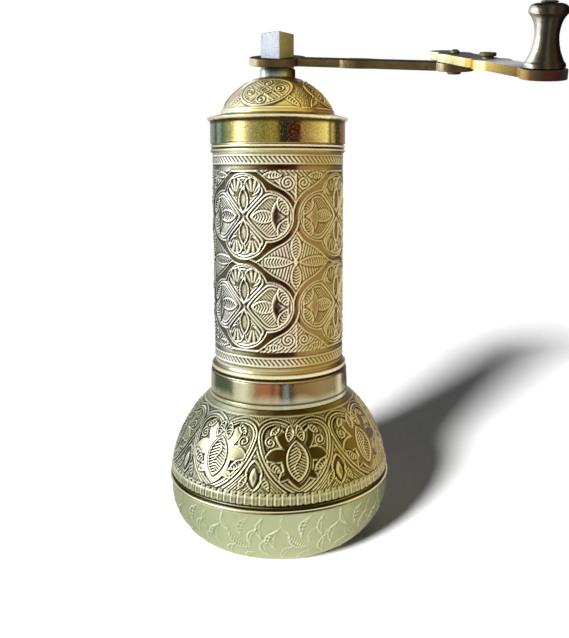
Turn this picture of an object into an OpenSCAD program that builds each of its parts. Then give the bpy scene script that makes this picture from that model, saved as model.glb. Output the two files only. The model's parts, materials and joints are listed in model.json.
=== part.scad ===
// Hand coffee mill of spun brass: a round bulb with a pull-off catch cup, a tall hopper tube,
// a pull-off domed lid, conical burrs on a vertical shaft, and a folding crank with a turned knob.
// Millimetres. +Z is up, and the origin is the middle of the flat that the mill stands on.

/* [Sheet brass] */
// Thickness of the spun brass walls
sheet = 0.9; // [0.7:0.05:1.1]
// Gap that lets two parts pull apart by hand
slip = 0.15; // [0.1:0.01:0.25]
// Gap between soldered or screwed parts
seat_gap = 0.05; // [0.02:0.01:0.1]

/* [Catch cup and bulb] */
// Height of the joint between the catch cup and the bulb
seam_z = 23.5; // [22:0.1:28]
// Outside radius of the catch cup at its widest
cup_r = 38.2; // [36.5:0.1:40]
// How far the bulb is wider than the cup
bulb_out = 0.3; // [0:0.05:0.4]
// Radius of the round corner between the cup's floor and its wall
cup_curve = 19.8; // [17:0.1:21]
// Radius of the bulb's rounded wall
bulb_curve = 40; // [39.5:0.1:43]
// How far the curve's middle lies under the joint
bulb_drop = 1.5; // [0:0.1:3]
// How far the rolled edges stand out from the cup's side
edge_out = 0.7; // [0.4:0.05:1.5]
// Height of each rolled edge
edge_h = 1.4; // [1:0.1:2]
// How far the cup's sleeve reaches up into the bulb
sleeve_up = 6; // [4:0.1:7]
// How far the sleeve is soldered down inside the cup
sleeve_down = 3.4; // [2.6:0.1:3.6]
// Height of the top of the bulb, where the collar stands
bulb_top = 51.5; // [50.5:0.1:53]

/* [Collar and hopper tube] */
// Height of the neck collar
collar_h = 8.6; // [7:0.1:9]
// How far the collar's foot stands out from the tube
collar_out = 2; // [1.8:0.1:2.5]
// How far the collar's lip stands in from its foot
lip_in = 0.5; // [0.2:0.05:0.8]
// Outside radius of the hopper tube
tube_r = 22.5; // [22:0.05:22.8]
// Height of the tube's upper end, inside the lid
tube_top = 146.2; // [144:0.1:146.4]
// How far the bead round the tube's foot stands out
foot_bead_out = 1.4; // [0.9:0.05:1.6]
// Height of that bead
foot_bead_h = 3.6; // [3:0.1:5]
// How far the bead that the lid rests on stands out
stop_bead_out = 0.75; // [0.6:0.05:1]
// Height of that bead
stop_bead_h = 3; // [2.4:0.1:4]

/* [Lid] */
// Height of the lid's lower edge
lid_z = 138.5; // [137.5:0.1:139.5]
// Height of the lid's straight band
band_h = 7.6; // [7.4:0.1:9]
// Thickness of the lid's sheet
lid_sheet = 0.65; // [0.5:0.05:0.75]
// How far the flared rim between the band and the dome stands out
rim_out = 1; // [0.7:0.05:1.6]
// Height of the flared rim
rim_h = 2.3; // [1.8:0.1:2.8]
// How far the dome's foot stands in from the flared rim
dome_in = 4.45; // [4:0.05:5]
// How much the dome's curve is larger than its foot
dome_more = 1.45; // [0.8:0.05:3]
// Clearance round the shaft in the lid's hole
lid_hole_gap = 0.3; // [0.2:0.05:0.6]

/* [Shaft] */
// Radius of the turned part of the shaft
shaft_r = 6.1; // [5.8:0.05:6.4]
// Height of the shoulder that the crank's hub rests on
shoulder_z = 164; // [163:0.1:166]
// Width across the flats of the shaft's square head
head_w = 8.2; // [7.8:0.05:8.5]
// Height of the top of the square head
head_top = 176; // [173:0.1:180]
// Direction that one flat of the square head faces, from +X
head_turn = 54; // [0:1:90]
// Radius of the thin lower part of the shaft
stem_r = 4; // [3.6:0.05:4.3]
// Width across the flats where the burr is driven
drive_w = 5.6; // [5.2:0.05:5.9]
// Radius of the shaft's lower pin, and of the screw under it
pin_r = 3; // [2.6:0.05:3.2]
// Running clearance of a turning piece in its hole
running = 0.06; // [0.03:0.01:0.09]

/* [Burrs] */
// Height of the underside of both burrs
burr_z = 64; // [63:0.1:66]
// Height of the burrs
burr_h = 14; // [12:0.1:15]
// Thickness of the outer burr at its lower edge
burr_wall = 3.5; // [3:0.1:4]
// Radius by which the inner burr narrows to its top
cone_taper = 3.2; // [2.6:0.1:3.6]
// Grinding gap between the burrs at their lower edge
grind_gap = 0.6; // [0.4:0.05:0.8]
// How far the gap widens towards the top
throat = 0.9; // [0.5:0.1:1.2]
// Width of the step in the housing round the outer burr
burr_seat = 4.05; // [3.8:0.05:4.4]
// Number of grooves in each burr
grooves = 18; // [12:1:24]
// Depth of the grooves
groove_d = 1; // [0.6:0.1:1.3]

/* [Adjuster] */
// Thread pitch of the adjusting screw
pitch = 1; // [0.75:0.05:1.25]
// Height of the top of the adjusting screw
screw_top = 48.8; // [48:0.1:50]
// Radius of the ball between the screw and the shaft
ball_r = 2.5; // [2.2:0.05:2.8]
// Span of the screw's wings
wing_span = 16; // [12:0.5:18]
// Height of the screw's wings
wing_h = 6; // [5:0.1:7]

/* [Crank] */
// Thickness of the crank's links
link_t = 2.6; // [2.3:0.05:2.8]
// Gap between the two links
link_gap = 0.1; // [0.05:0.01:0.2]
// Angle by which the crank hangs down in the slack of its square hole
droop = 13.05; // [12:0.05:13.5]
// Angle by which the same slack lifts the crank's right-hand side
lean = 0.5; // [0:0.05:0.8]
// Height of the middle of the hub on the shaft's axis
hub_z = 166.86; // [166.8:0.01:168]
// Radius of the hub
hub_r = 9.6; // [9:0.1:10.5]
// Width of the hub's square hole, which is worn wide
hub_hole = 9.15; // [9.1:0.05:9.4]
// Direction of the inner link from the hub
inner_turn = -22.5; // [-40:0.5:10]
// Distance from the shaft's axis to the fold rivet
inner_len = 61.2; // [58:0.1:66]
// Width of the inner link
inner_w = 6.8; // [6:0.1:8]
// Radius of the inner link's end round the rivet
inner_end_r = 6; // [5:0.1:7]
// Direction of the outer link from the fold rivet
outer_turn = -73.9; // [-90:0.1:-50]
// Distance from the fold rivet to the knob
outer_len = 50.2; // [46:0.1:53]
// Width of the outer link
outer_w = 8.6; // [7:0.1:9.4]
// Radius of the outer link's end under the knob
outer_end_r = 5.9; // [5.2:0.1:6.5]
// Radius of the fold rivet's shank
rivet_r = 1.1; // [0.9:0.05:1.3]

/* [Knob] */
// Height of the knob
knob_h = 15.6; // [14:0.1:20]
// Radius of the knob's head and foot
knob_r = 4.95; // [4.5:0.05:5.2]
// Radius of the knob's waist
waist_r = 2.95; // [2.7:0.05:3.5]
// Radius of the spindle that the knob turns on
spindle_r = 1.2; // [1:0.05:1.4]
// Radius of the button that ends the spindle
button_r = 2.2; // [1.8:0.1:2.6]

/* [Hidden] */
$fn = 96;

pale_brass = [0.80, 0.76, 0.55];
gold_brass = [0.78, 0.62, 0.25];
old_bronze = [0.36, 0.28, 0.16];
steel = [0.72, 0.73, 0.74];
dark_steel = [0.38, 0.39, 0.41];
far = 200;                                      // longer than the mill, for cuts that go right through
cut = 0.5;                                      // how far a cut runs past a face

// Catch cup and bulb
seam_gap = 0.3;                                 // dark line between the two rolled edges
cup_top = seam_z - seam_gap / 2;
bulb_foot = seam_z + seam_gap / 2;
belly_r = cup_r + bulb_out;
edge_r = cup_r + edge_out;
cup_middle = cup_r - cup_curve;
cup_in = cup_r - sheet;
bulb_middle = [belly_r - bulb_curve, seam_z - bulb_drop];
bulb_mouth_r = bulb_middle[0] + sqrt(pow(bulb_curve, 2) - pow(bulb_top - bulb_middle[1], 2));
sleeve_top = seam_z + sleeve_up;
sleeve_foot = seam_z - sleeve_down;
sleeve_r = bulb_middle[0] + sqrt(pow(bulb_curve - sheet, 2) - pow(sleeve_top - bulb_middle[1], 2)) - slip;
sleeve_step = 1.2;                              // where the sleeve steps in under the joint

// Collar and tube
collar_r = tube_r + collar_out;
lip_r = collar_r - lip_in;
tube_in = tube_r - sheet;
collar_top = bulb_top + collar_h;
socket_r = tube_r + seat_gap;
tube_foot = bulb_top + seat_gap;

// Lid
stop_top = lid_z - seat_gap;
band_in = tube_r + slip;
band_r = band_in + lid_sheet;
rim_r = band_r + rim_out;
dome_foot_r = rim_r - dome_in;
dome_curve = dome_foot_r + dome_more;
rim_z = lid_z + band_h;
dome_foot_z = rim_z + rim_h;
dome_middle_z = dome_foot_z - sqrt(pow(dome_curve, 2) - pow(dome_foot_r, 2));

// Burrs and what holds them
burr_top = burr_z + burr_h;
housing_r = tube_in - seat_gap;
ring_r = housing_r - burr_seat;
cone_r = ring_r - burr_wall - grind_gap;
clamp_h = 2.2;                                  // thickness of the ring under the outer burr
clamp_z = burr_z - clamp_h - seat_gap;
ring_low_r = cone_r + grind_gap;                // inside of the outer burr at its lower edge
ring_top_r = cone_r - cone_taper + grind_gap + throat;
funnel_h = 6;                                   // height of the funnel over the burrs
clamp_screw_r = 1.2;
clamp_screw_head_r = 1.9;
clamp_screw_head_h = 1.2;
clamp_pitch_r = (ring_r + housing_r) / 2;       // circle that the clamp's screws lie on
clamp_screw_up = 6.5;                           // how far the screws reach into the housing
bridge_screw_up = 5;
burr_lip = 1;                                   // how far the outer burr shows inside its seat and clamp
clamp_turns = [90, 210, 330];
post_turns = [0, 180];

// Bridges
bridge_z = 118;                                 // underside of the upper bridge
bridge_h = 4;
rim_wall = 1.6;                                 // wall of the bridge's ring and hub
spoke_w = 4.4;
spoke_in = 0.6;                                 // how far the spokes lie in from the ring's faces
bush_r = shaft_r + 2;
bar_w = 9;                                      // the lower bridge is a flat bar with a boss
bar_h = 3.5;
bar_z = tube_foot + 1;
boss_up = 2.4;                                  // how far the boss stands over the bar
boss_h = 17.4;
boss_z = bar_z + bar_h + boss_up - boss_h;
boss_r = pin_r + 2.6;
post_w = 4.6;
bridge_screw_r = 1.3;
bridge_screw_head_r = 1.9;
bridge_screw_head_h = 1.4;
slot_w = 0.6;                                   // slots in the screws' heads
slot_d = 0.6;

// Shaft and adjuster, stacked from the screw's tip upwards
ball_z = screw_top + ball_r;
pin_z = ball_z + ball_r + seat_gap;
washer_h = 1;
nut_h = 3.4;
nut_w = 9.5;
thread_r = pin_r - running;
neck_z = burr_top + 2;                          // where the square for the burr ends
stem_top = bridge_z - 8;
screw_foot = boss_z - 4;
wing_t = 2.4;

// Crank, in its own flat frame: the hub's middle at the origin, the links in the XY plane
fold_at = inner_len * [cos(inner_turn), sin(inner_turn), 0];
outer_z = link_t / 2 + link_gap;                // underside of the outer link
outer_top = outer_z + link_t;
inner_lens_at = 29.4;                           // the leaf-shaped swelling half way along the inner link
inner_lens = [19.4, 9.2];
outer_lens_at = 23.5;
outer_lens = [10.6, 11.6];
head_plate_l = 18.3;                            // the outer link's broad end over the rivet
head_plate_w = 9.8;
lobe_at = 8;
lobe_r = 4.4;
head_disc_r = 5.6;
lug_at = 21;                                    // small headed stud on the outer link
lug_r = 1.75;
lug_head_r = 2.45;
lug_h = 1.75;
lug_head_h = 1;
knob_z = outer_top + 0.15;                      // the knob's foot runs just clear of the link
foot_h = 1.6;                                   // straight foot of the knob
head_h = 2.2;                                   // straight head of the knob
waist_h = knob_h - foot_h - head_h;
waist_curve = (pow(waist_h / 2, 2) + pow(knob_r - waist_r, 2)) / (2 * (knob_r - waist_r));
button_h = 0.6;
knob_round = 1;                                 // rounding of the knob's top edge

// --- Helpers -------------------------------------------------------------------------------

// A ring of rectangular section
module ring(inner, outer, height) {
    difference() {
        cylinder(r = outer, h = height);
        translate([0, 0, -cut]) cylinder(r = inner, h = height + 2 * cut);
    }
}

// A wall of revolution: the part of a round curve, one sheet thick, between two heights
module curved_wall(middle, curve, low, high) {
    rotate_extrude() intersection() {
        translate([0, low]) square([far, high - low]);
        translate([max(middle[0], 0), low]) square([far, high - low]);
        translate(middle) difference() {
            circle(curve);
            circle(curve - sheet);
        }
    }
}

// A bead round a tube: a shallow roll standing out to the radius given
module bead(inner, outer, height) {
    out = outer - inner;
    roll = (height * height / 4 + out * out) / (2 * out);
    rotate_extrude() intersection() {
        translate([inner, 0]) square([2 * out, height]);
        translate([outer - roll, height / 2]) circle(roll);
    }
}

// A leaf shape, pointed at both ends, from two round curves
module leaf(size) {
    a = size[0] / 2;
    b = size[1] / 2;
    curve = (a * a + b * b) / (2 * b);
    intersection() {
        translate([0, curve - b]) circle(curve);
        translate([0, b - curve]) circle(curve);
    }
}

module square_bar(width, height) {
    translate([-width / 2, -width / 2, 0]) cube([width, width, height]);
}

// Places the crank's flat frame on the shaft
module on_hub() {
    translate([0, 0, hub_z]) rotate([droop, -lean, 0]) children();
}

// Places the outer link's frame on the fold rivet, with +X along the link
module on_fold() {
    on_hub() translate(fold_at) rotate([0, 0, outer_turn]) children();
}

// --- Catch cup -----------------------------------------------------------------------------

module catch_cup() color(pale_brass) {
    cylinder(r = cup_middle + seat_gap, h = sheet);
    curved_wall([cup_middle, cup_curve], cup_curve, 0, cup_curve);
    translate([0, 0, cup_curve]) ring(cup_in, cup_r, cup_top - cup_curve);
    translate([0, 0, cup_top - edge_h]) ring(cup_in, edge_r, edge_h);
}

module cup_sleeve() color(pale_brass) rotate_extrude() polygon([
    [cup_in - seat_gap - sheet, sleeve_foot], [cup_in - seat_gap, sleeve_foot],
    [cup_in - seat_gap, seam_z - sleeve_step], [sleeve_r, seam_z], [sleeve_r, sleeve_top],
    [sleeve_r - sheet, sleeve_top], [sleeve_r - sheet, seam_z],
    [cup_in - seat_gap - sheet, seam_z - sleeve_step]]);

// --- Bulb, collar and tube -----------------------------------------------------------------

module upper_bulb() color(pale_brass) {
    curved_wall(bulb_middle, bulb_curve, bulb_foot + edge_h, bulb_top);
    translate([0, 0, bulb_top - sheet]) ring(socket_r, bulb_mouth_r, sheet);
}

module bulb_edge_ring() color(pale_brass)
    translate([0, 0, bulb_foot]) ring(sleeve_r + slip, edge_r, edge_h - seat_gap);

module neck_collar() color(gold_brass) rotate_extrude() polygon([
    [socket_r, bulb_top], [collar_r, bulb_top],
    [lip_r, collar_top - sheet], [lip_r, collar_top], [socket_r, collar_top],
    [socket_r, collar_top - sheet], [lip_r - sheet, collar_top - sheet],
    [collar_r - sheet, bulb_top + sheet], [socket_r, bulb_top + sheet]]);

module hopper_tube() color(pale_brass)
    translate([0, 0, tube_foot]) ring(tube_in, tube_r, tube_top - tube_foot);

module tube_foot_bead() color(pale_brass)
    translate([0, 0, collar_top + seat_gap]) bead(socket_r, tube_r + foot_bead_out, foot_bead_h);

module lid_stop_bead() color(pale_brass)
    translate([0, 0, stop_top - stop_bead_h]) bead(socket_r, tube_r + stop_bead_out, stop_bead_h);

// --- Burrs ---------------------------------------------------------------------------------

module burr_housing() color(gold_brass) difference() {
    rotate_extrude() polygon([
        [ring_r + seat_gap, burr_z], [housing_r, burr_z],
        [housing_r, burr_top + sheet + funnel_h], [housing_r - sheet, burr_top + sheet + funnel_h],
        [ring_top_r + burr_lip, burr_top + sheet], [ring_top_r + burr_lip, burr_top + seat_gap],
        [ring_r + seat_gap, burr_top + seat_gap]]);
    screw_holes(clamp_turns, clamp_screw_r, burr_z - cut, clamp_screw_up + 1);
    screw_holes(post_turns, bridge_screw_r, burr_z - cut, bridge_screw_up + 1);
}

// Holes on the screws' circle
module screw_holes(turns, radius, low, depth) {
    for (turn = turns) rotate([0, 0, turn])
        translate([clamp_pitch_r, 0, low]) cylinder(r = radius + seat_gap, h = depth + cut);
}

// Grooves that climb the cone's side at a slant
module burr_grooves(middle_r, height, tilt) {
    for (i = [0 : grooves - 1]) rotate([0, 0, i * 360 / grooves])
        translate([middle_r, 0, height / 2]) rotate([tilt, 0, 0]) rotate([0, 0, 45])
            translate([-groove_d / 2, -groove_d / 2, -height]) cube([groove_d, groove_d, 2 * height]);
}

module outer_burr() color(dark_steel) translate([0, 0, burr_z]) difference() {
    cylinder(r = ring_r, h = burr_h);
    translate([0, 0, -cut]) cylinder(r1 = ring_low_r + cut * (ring_low_r - ring_top_r) / burr_h,
        r2 = ring_top_r - cut * (ring_low_r - ring_top_r) / burr_h, h = burr_h + 2 * cut);
    burr_grooves((ring_low_r + ring_top_r) / 2 + 0.2, burr_h, 12);
}

module inner_burr() color(dark_steel) translate([0, 0, burr_z]) difference() {
    cylinder(r1 = cone_r, r2 = cone_r - cone_taper, h = burr_h);
    rotate([0, 0, head_turn]) translate([0, 0, -cut]) square_bar(drive_w + 2 * seat_gap, burr_h + 2 * cut);
    burr_grooves(cone_r - cone_taper / 2, burr_h, -12);
}

module burr_clamp() color(gold_brass) difference() {
    translate([0, 0, clamp_z]) ring(ring_low_r + burr_lip, housing_r, clamp_h);
    screw_holes(clamp_turns, clamp_screw_r, clamp_z - cut, clamp_h + cut);
    screw_holes(post_turns, bridge_screw_r, clamp_z - cut, clamp_h + cut);
}

module clamp_screws() color(steel) for (turn = clamp_turns) rotate([0, 0, turn])
    translate([clamp_pitch_r, 0, 0]) difference() {
        union() {
            translate([0, 0, clamp_z]) cylinder(r = clamp_screw_r, h = clamp_h + clamp_screw_up);
            translate([0, 0, clamp_z - clamp_screw_head_h]) cylinder(r = clamp_screw_head_r, h = clamp_screw_head_h);
        }
        translate([-slot_w / 2, -far / 2, clamp_z - clamp_screw_head_h - cut]) cube([slot_w, far, slot_d + cut]);
    }

// --- Bridges -------------------------------------------------------------------------------

module upper_bridge() color(gold_brass) translate([0, 0, bridge_z]) difference() {
    union() {
        ring(housing_r - rim_wall, housing_r, bridge_h);
        cylinder(r = bush_r + rim_wall, h = bridge_h);
        for (turn = [60, 180, 300]) rotate([0, 0, turn])
            translate([bush_r, -spoke_w / 2, spoke_in]) cube([housing_r - bush_r - rim_wall / 2, spoke_w, bridge_h - 2 * spoke_in]);
    }
    translate([0, 0, -cut]) cylinder(r = bush_r + seat_gap, h = bridge_h + 2 * cut);
}

module shaft_bush() color(gold_brass) translate([0, 0, bridge_z - 1]) {
    ring(shaft_r + running, bush_r, bridge_h + 1);
    ring(shaft_r + running, bush_r + 1, 1 - seat_gap);
}

module lower_bridge() color(gold_brass) difference() {
    union() {
        intersection() {
            translate([-far / 2, -bar_w / 2, bar_z]) cube([far, bar_w, bar_h]);
            cylinder(r = housing_r, h = far);
        }
        translate([0, 0, boss_z]) cylinder(r = boss_r, h = boss_h);
        for (turn = post_turns) rotate([0, 0, turn]) intersection() {
            translate([clamp_pitch_r - post_w / 2, -post_w / 2, bar_z]) cube([post_w, post_w, clamp_z - bar_z]);
            cylinder(r = housing_r, h = far);
        }
    }
    translate([0, 0, boss_z - cut]) cylinder(r = pin_r, h = boss_h + 2 * cut);
    screw_holes(post_turns, bridge_screw_r, bar_z - cut, clamp_z - bar_z + cut);
}

module bridge_screws() color(steel) for (turn = post_turns) rotate([0, 0, turn])
    translate([clamp_pitch_r, 0, 0]) difference() {
        union() {
            translate([0, 0, bar_z]) cylinder(r = bridge_screw_r, h = burr_z - bar_z + bridge_screw_up);
            translate([0, 0, bar_z - bridge_screw_head_h])
                cylinder(r = bridge_screw_head_r, h = bridge_screw_head_h - seat_gap);
            translate([0, 0, bar_z - seat_gap - cut]) cylinder(r = bridge_screw_r, h = cut + seat_gap);
        }
        translate([-slot_w / 2, -far / 2, bar_z - bridge_screw_head_h - cut]) cube([slot_w, far, slot_d + cut]);
    }

// --- Adjuster ------------------------------------------------------------------------------

module adjusting_screw() color(steel) {
    rotate_extrude() polygon(concat([[0, screw_foot]],
        [for (z = [screw_foot : pitch : screw_top - pitch])
            each [[thread_r - pitch * 0.45, z], [thread_r, z + pitch / 2]]],
        [[thread_r - pitch * 0.45, screw_top], [0, screw_top]]));
    translate([0, 0, screw_foot - wing_h]) {
        cylinder(r = pin_r + 1, h = wing_h);
        translate([-wing_span / 2 + wing_h / 2, -wing_t / 2, 0]) cube([wing_span - wing_h, wing_t, wing_h]);
        for (side = [-1, 1]) translate([side * (wing_span - wing_h) / 2, wing_t / 2, wing_h / 2])
            rotate([90, 0, 0]) cylinder(r = wing_h / 2, h = wing_t);
    }
}

module thrust_ball() color(steel) translate([0, 0, ball_z]) sphere(ball_r);

// --- Shaft ---------------------------------------------------------------------------------

module drive_shaft() color(steel) {
    translate([0, 0, pin_z]) cylinder(r = thread_r, h = burr_z - pin_z);
    rotate([0, 0, head_turn]) translate([0, 0, burr_z - seat_gap / 2]) intersection() {
        square_bar(drive_w, neck_z - burr_z + seat_gap);
        cylinder(r = stem_r, h = far);
    }
    translate([0, 0, neck_z]) cylinder(r = stem_r, h = stem_top - neck_z);
    translate([0, 0, stem_top]) cylinder(r = shaft_r, h = shoulder_z - stem_top);
    rotate([0, 0, head_turn]) translate([0, 0, shoulder_z - cut]) square_bar(head_w, head_top - shoulder_z + cut);
}

module burr_washer() color(steel)
    translate([0, 0, burr_z - seat_gap - washer_h]) ring(thread_r + seat_gap, pin_r + 3, washer_h);

module burr_nut() color(steel) translate([0, 0, burr_z - washer_h - nut_h - 2 * seat_gap]) difference() {
    cylinder(r = nut_w / 2 / cos(30), h = nut_h, $fn = 6);
    translate([0, 0, -cut]) cylinder(r = thread_r + seat_gap, h = nut_h + 2 * cut);
}

// --- Lid -----------------------------------------------------------------------------------

module lid_band() color(gold_brass) rotate_extrude() {
    translate([band_in, lid_z]) square([lid_sheet, band_h]);
    polygon([[band_in, rim_z], [band_r, rim_z], [rim_r, rim_z + rim_h * 0.3],
        [rim_r, rim_z + rim_h * 0.6], [dome_foot_r, dome_foot_z], [dome_foot_r - 2, dome_foot_z],
        [dome_foot_r - 2, dome_foot_z - lid_sheet], [band_in, rim_z + rim_h * 0.3]]);
}

module lid_dome() color(gold_brass) rotate_extrude() intersection() {
    translate([shaft_r + lid_hole_gap, dome_foot_z]) square([dome_foot_r, dome_curve]);
    translate([0, dome_middle_z]) difference() {
        circle(dome_curve);
        circle(dome_curve - lid_sheet);
    }
}

// --- Crank ---------------------------------------------------------------------------------

module inner_link() color(old_bronze) on_hub() translate([0, 0, -link_t / 2]) difference() {
    union() {
        cylinder(r = hub_r, h = link_t);
        rotate([0, 0, inner_turn]) linear_extrude(link_t) {
            translate([0, -inner_w / 2]) square([inner_len, inner_w]);
            translate([inner_lens_at, 0]) leaf(inner_lens);
        }
        translate(fold_at) cylinder(r = inner_end_r, h = link_t);
    }
    rotate([0, 0, head_turn]) translate([0, 0, -cut]) square_bar(hub_hole, link_t + 2 * cut);
    translate(fold_at - [0, 0, cut]) cylinder(r = rivet_r + seat_gap, h = link_t + 2 * cut);
}

module fold_rivet() color(old_bronze) on_fold() {
    translate([0, 0, -link_t / 2 - 0.5]) cylinder(r = rivet_r, h = outer_top + link_t / 2 + 1);
    translate([0, 0, -link_t / 2 - seat_gap - 1]) cylinder(r = 2 * rivet_r, h = 1);
    translate([0, 0, outer_top + running]) intersection() {
        cylinder(r = rivet_r + 0.35, h = 1.1);
        translate([0, 0, -0.5]) sphere(1.65);
    }
}

module outer_link() color(old_bronze) on_fold() translate([0, 0, outer_z]) difference() {
    linear_extrude(link_t) {
        circle(head_disc_r);
        translate([-lobe_at, 0]) circle(lobe_r);
        translate([0, -head_plate_w / 2]) square([head_plate_l, head_plate_w]);
        translate([outer_lens_at, 0]) leaf(outer_lens);
        translate([head_plate_l, -outer_w / 2]) square([outer_len - head_plate_l, outer_w]);
        translate([outer_len, 0]) circle(outer_end_r);
    }
    translate([0, 0, -cut]) cylinder(r = rivet_r + running, h = link_t + 2 * cut);
    translate([lug_at, 0, -cut]) cylinder(r = lug_r * 0.6 + seat_gap, h = link_t + 2 * cut);
    translate([outer_len, 0, -cut]) cylinder(r = spindle_r + seat_gap, h = link_t + 2 * cut);
}

module fold_lug() color(old_bronze) on_fold() translate([lug_at, 0, 0]) {
    translate([0, 0, outer_z]) cylinder(r = lug_r * 0.6, h = link_t + 1);
    translate([0, 0, outer_top]) cylinder(r = lug_r, h = lug_h - lug_head_h + 0.1);
    translate([0, 0, outer_top + lug_h - lug_head_h]) cylinder(r = lug_head_r, h = lug_head_h);
}

// --- Knob ----------------------------------------------------------------------------------

module knob_spindle() color(old_bronze) on_fold() translate([outer_len, 0, 0]) {
    translate([0, 0, outer_z + 0.1]) cylinder(r = spindle_r, h = knob_z + knob_h + button_h / 2 - outer_z - 0.1);
    translate([0, 0, knob_z + knob_h + running]) cylinder(r = button_r, h = button_h);
}

module knob() color(old_bronze) on_fold() translate([outer_len, 0, knob_z]) difference() {
    rotate_extrude() difference() {
        union() {
            square([knob_r, knob_h - knob_round]);
            square([knob_r - knob_round, knob_h]);
            translate([knob_r - knob_round, knob_h - knob_round]) circle(knob_round, $fn = 48);
        }
        translate([waist_r + waist_curve, foot_h + waist_h / 2]) circle(waist_curve);
    }
    translate([0, 0, -cut]) cylinder(r = spindle_r + running, h = knob_h + 2 * cut);
}

catch_cup();
cup_sleeve();
upper_bulb();
bulb_edge_ring();
neck_collar();
hopper_tube();
tube_foot_bead();
lid_stop_bead();
burr_housing();
outer_burr();
burr_clamp();
clamp_screws();
upper_bridge();
shaft_bush();
lower_bridge();
bridge_screws();
adjusting_screw();
thrust_ball();
drive_shaft();
inner_burr();
burr_washer();
burr_nut();
lid_band();
lid_dome();
inner_link();
fold_rivet();
outer_link();
fold_lug();
knob_spindle();
knob();
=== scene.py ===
"""Dresses the hand coffee mill: chased brass, polished bands, an aged bronze crank and a plain studio."""

import json
import math

import bmesh
import bpy
import numpy as np
from mathutils import Matrix, Vector


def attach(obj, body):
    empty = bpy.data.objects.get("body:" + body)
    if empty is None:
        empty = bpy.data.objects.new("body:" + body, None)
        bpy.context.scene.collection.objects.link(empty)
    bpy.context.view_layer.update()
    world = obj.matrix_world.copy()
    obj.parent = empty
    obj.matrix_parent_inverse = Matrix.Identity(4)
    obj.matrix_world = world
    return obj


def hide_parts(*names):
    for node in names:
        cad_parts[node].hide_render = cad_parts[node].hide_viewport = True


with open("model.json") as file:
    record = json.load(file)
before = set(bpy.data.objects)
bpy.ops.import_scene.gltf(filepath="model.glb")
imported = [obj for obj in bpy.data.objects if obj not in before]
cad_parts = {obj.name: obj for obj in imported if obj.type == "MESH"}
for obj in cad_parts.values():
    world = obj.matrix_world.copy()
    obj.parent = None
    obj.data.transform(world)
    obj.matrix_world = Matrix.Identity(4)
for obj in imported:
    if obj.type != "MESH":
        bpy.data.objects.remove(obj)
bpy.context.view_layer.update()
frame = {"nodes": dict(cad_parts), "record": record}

bl_info = {
    "name": "Hand coffee mill",
    "version": (1, 0, 0),
    "blender": (4, 5, 0),
    "location": "View3D > Sidebar > Mill",
    "description": "Builds the look of a chased brass hand coffee mill over its solids",
    "category": "Object",
}

MM = 0.001
AXIS = 0.01                                     # radius at which a turned piece closes on its axis
SHARP = math.radians(28)                        # edges of flat pieces that stay sharp
MARKS = ("cavity", "ridge", "plain", "stipple", "lean")

# Sizes in millimetres and angles in degrees, as in the mill's source
SHEET, LID_SHEET = 0.9, 0.65
CUP_R, CUP_CURVE, SEAM, SEAM_GAP = 38.2, 19.8, 22.8, 0.3
BULB_CURVE, BULB_MIDDLE, BULB_FOOT, BULB_TOP = 40.0, (-1.5, 21.3), 25.25, 51.5
HEARTS_LOW, HEARTS_HIGH = 29.3, 50.0
COLLAR_R, LIP_R, COLLAR_TOP = 24.5, 24.0, 60.1
TUBE_R, TUBE_FOOT, TUBE_TOP = 22.5, 51.55, 146.2
CHASED_LOW, CHASED_MIDDLE, CHASED_HIGH = 63.2, 99.95, 136.4
SOCKET_R = TUBE_R + 0.06                        # inside of all that slips over the tube
FOOT_BEAD, STOP_BEAD = (23.9, 60.15, 3.6), (23.25, 135.45, 3.0)     # radius, lower edge and height
LID_Z, BAND_IN, BAND_R, RIM_Z, RIM_R = 138.5, 22.65, 23.3, 146.1, 24.3
DOME_CURVE, DOME_MIDDLE_Z, DOME_FOOT_R, DOME_FOOT_Z, DOME_HOLE = 21.3, 140.675, 19.85, 148.4, 6.4
SHAFT_FOOT, SHAFT_R, SHOULDER = 53.85, 6.1, 164.0
HEAD_W, HEAD_SUNK, HEAD_TOP, HEAD_TURN = 8.2, 0.5, 176.0, 54.0
DROOP, LEAN, HUB_Z, HUB_R, HUB_HOLE = 13.05, -0.5, 166.86, 9.6, 9.15
LINK_T, LINK_GAP = 2.6, 0.1
LINK_LOW = LINK_T / 2 + LINK_GAP                # faces of the outer link, in the crank's flat frame
LINK_HIGH = LINK_LOW + LINK_T
INNER_TURN, INNER_LEN, INNER_W, INNER_END_R = -22.5, 61.2, 6.8, 6.0
OUTER_TURN, OUTER_LEN, OUTER_W, OUTER_END_R = -73.9, 50.2, 8.6, 5.89
FOLD_R, LOBE_AT, LOBE_R, LUG_AT = 5.6, -8, 4.4, 21
PLATE_LEN, PLATE_HALF = 18.3, 4.9               # broad part of the outer link beside its fold
INNER_SWELL, OUTER_SWELL = (29.4, 19.4, 9.2), (23.5, 10.6, 11.6)    # middle, length and width

# Azimuths of the ornament in degrees, and how often its parts repeat round the mill
TUBE_AT, HEART_AT, DOME_AT, DOME_LEAF_AT = -27.0, 12.7, -13.0, 32.0
FLUTES, SPRAYS, ROPE_STROKES = 100, 12, 92

# Camera, in metres and degrees, with its lens in pixels and the pixel that the lens is centred on
IMAGE_W, IMAGE_H, SENSOR = 569, 638, 36.0
LENS, CENTRE = 750, (318, 246.83)
CAMERA_AT, CAMERA_TILT = (0.01389, -0.26241, 0.13034), 84
FLOOR_FADE = (0.34, 0.9)                        # distances in metres over which the floor turns white


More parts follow.
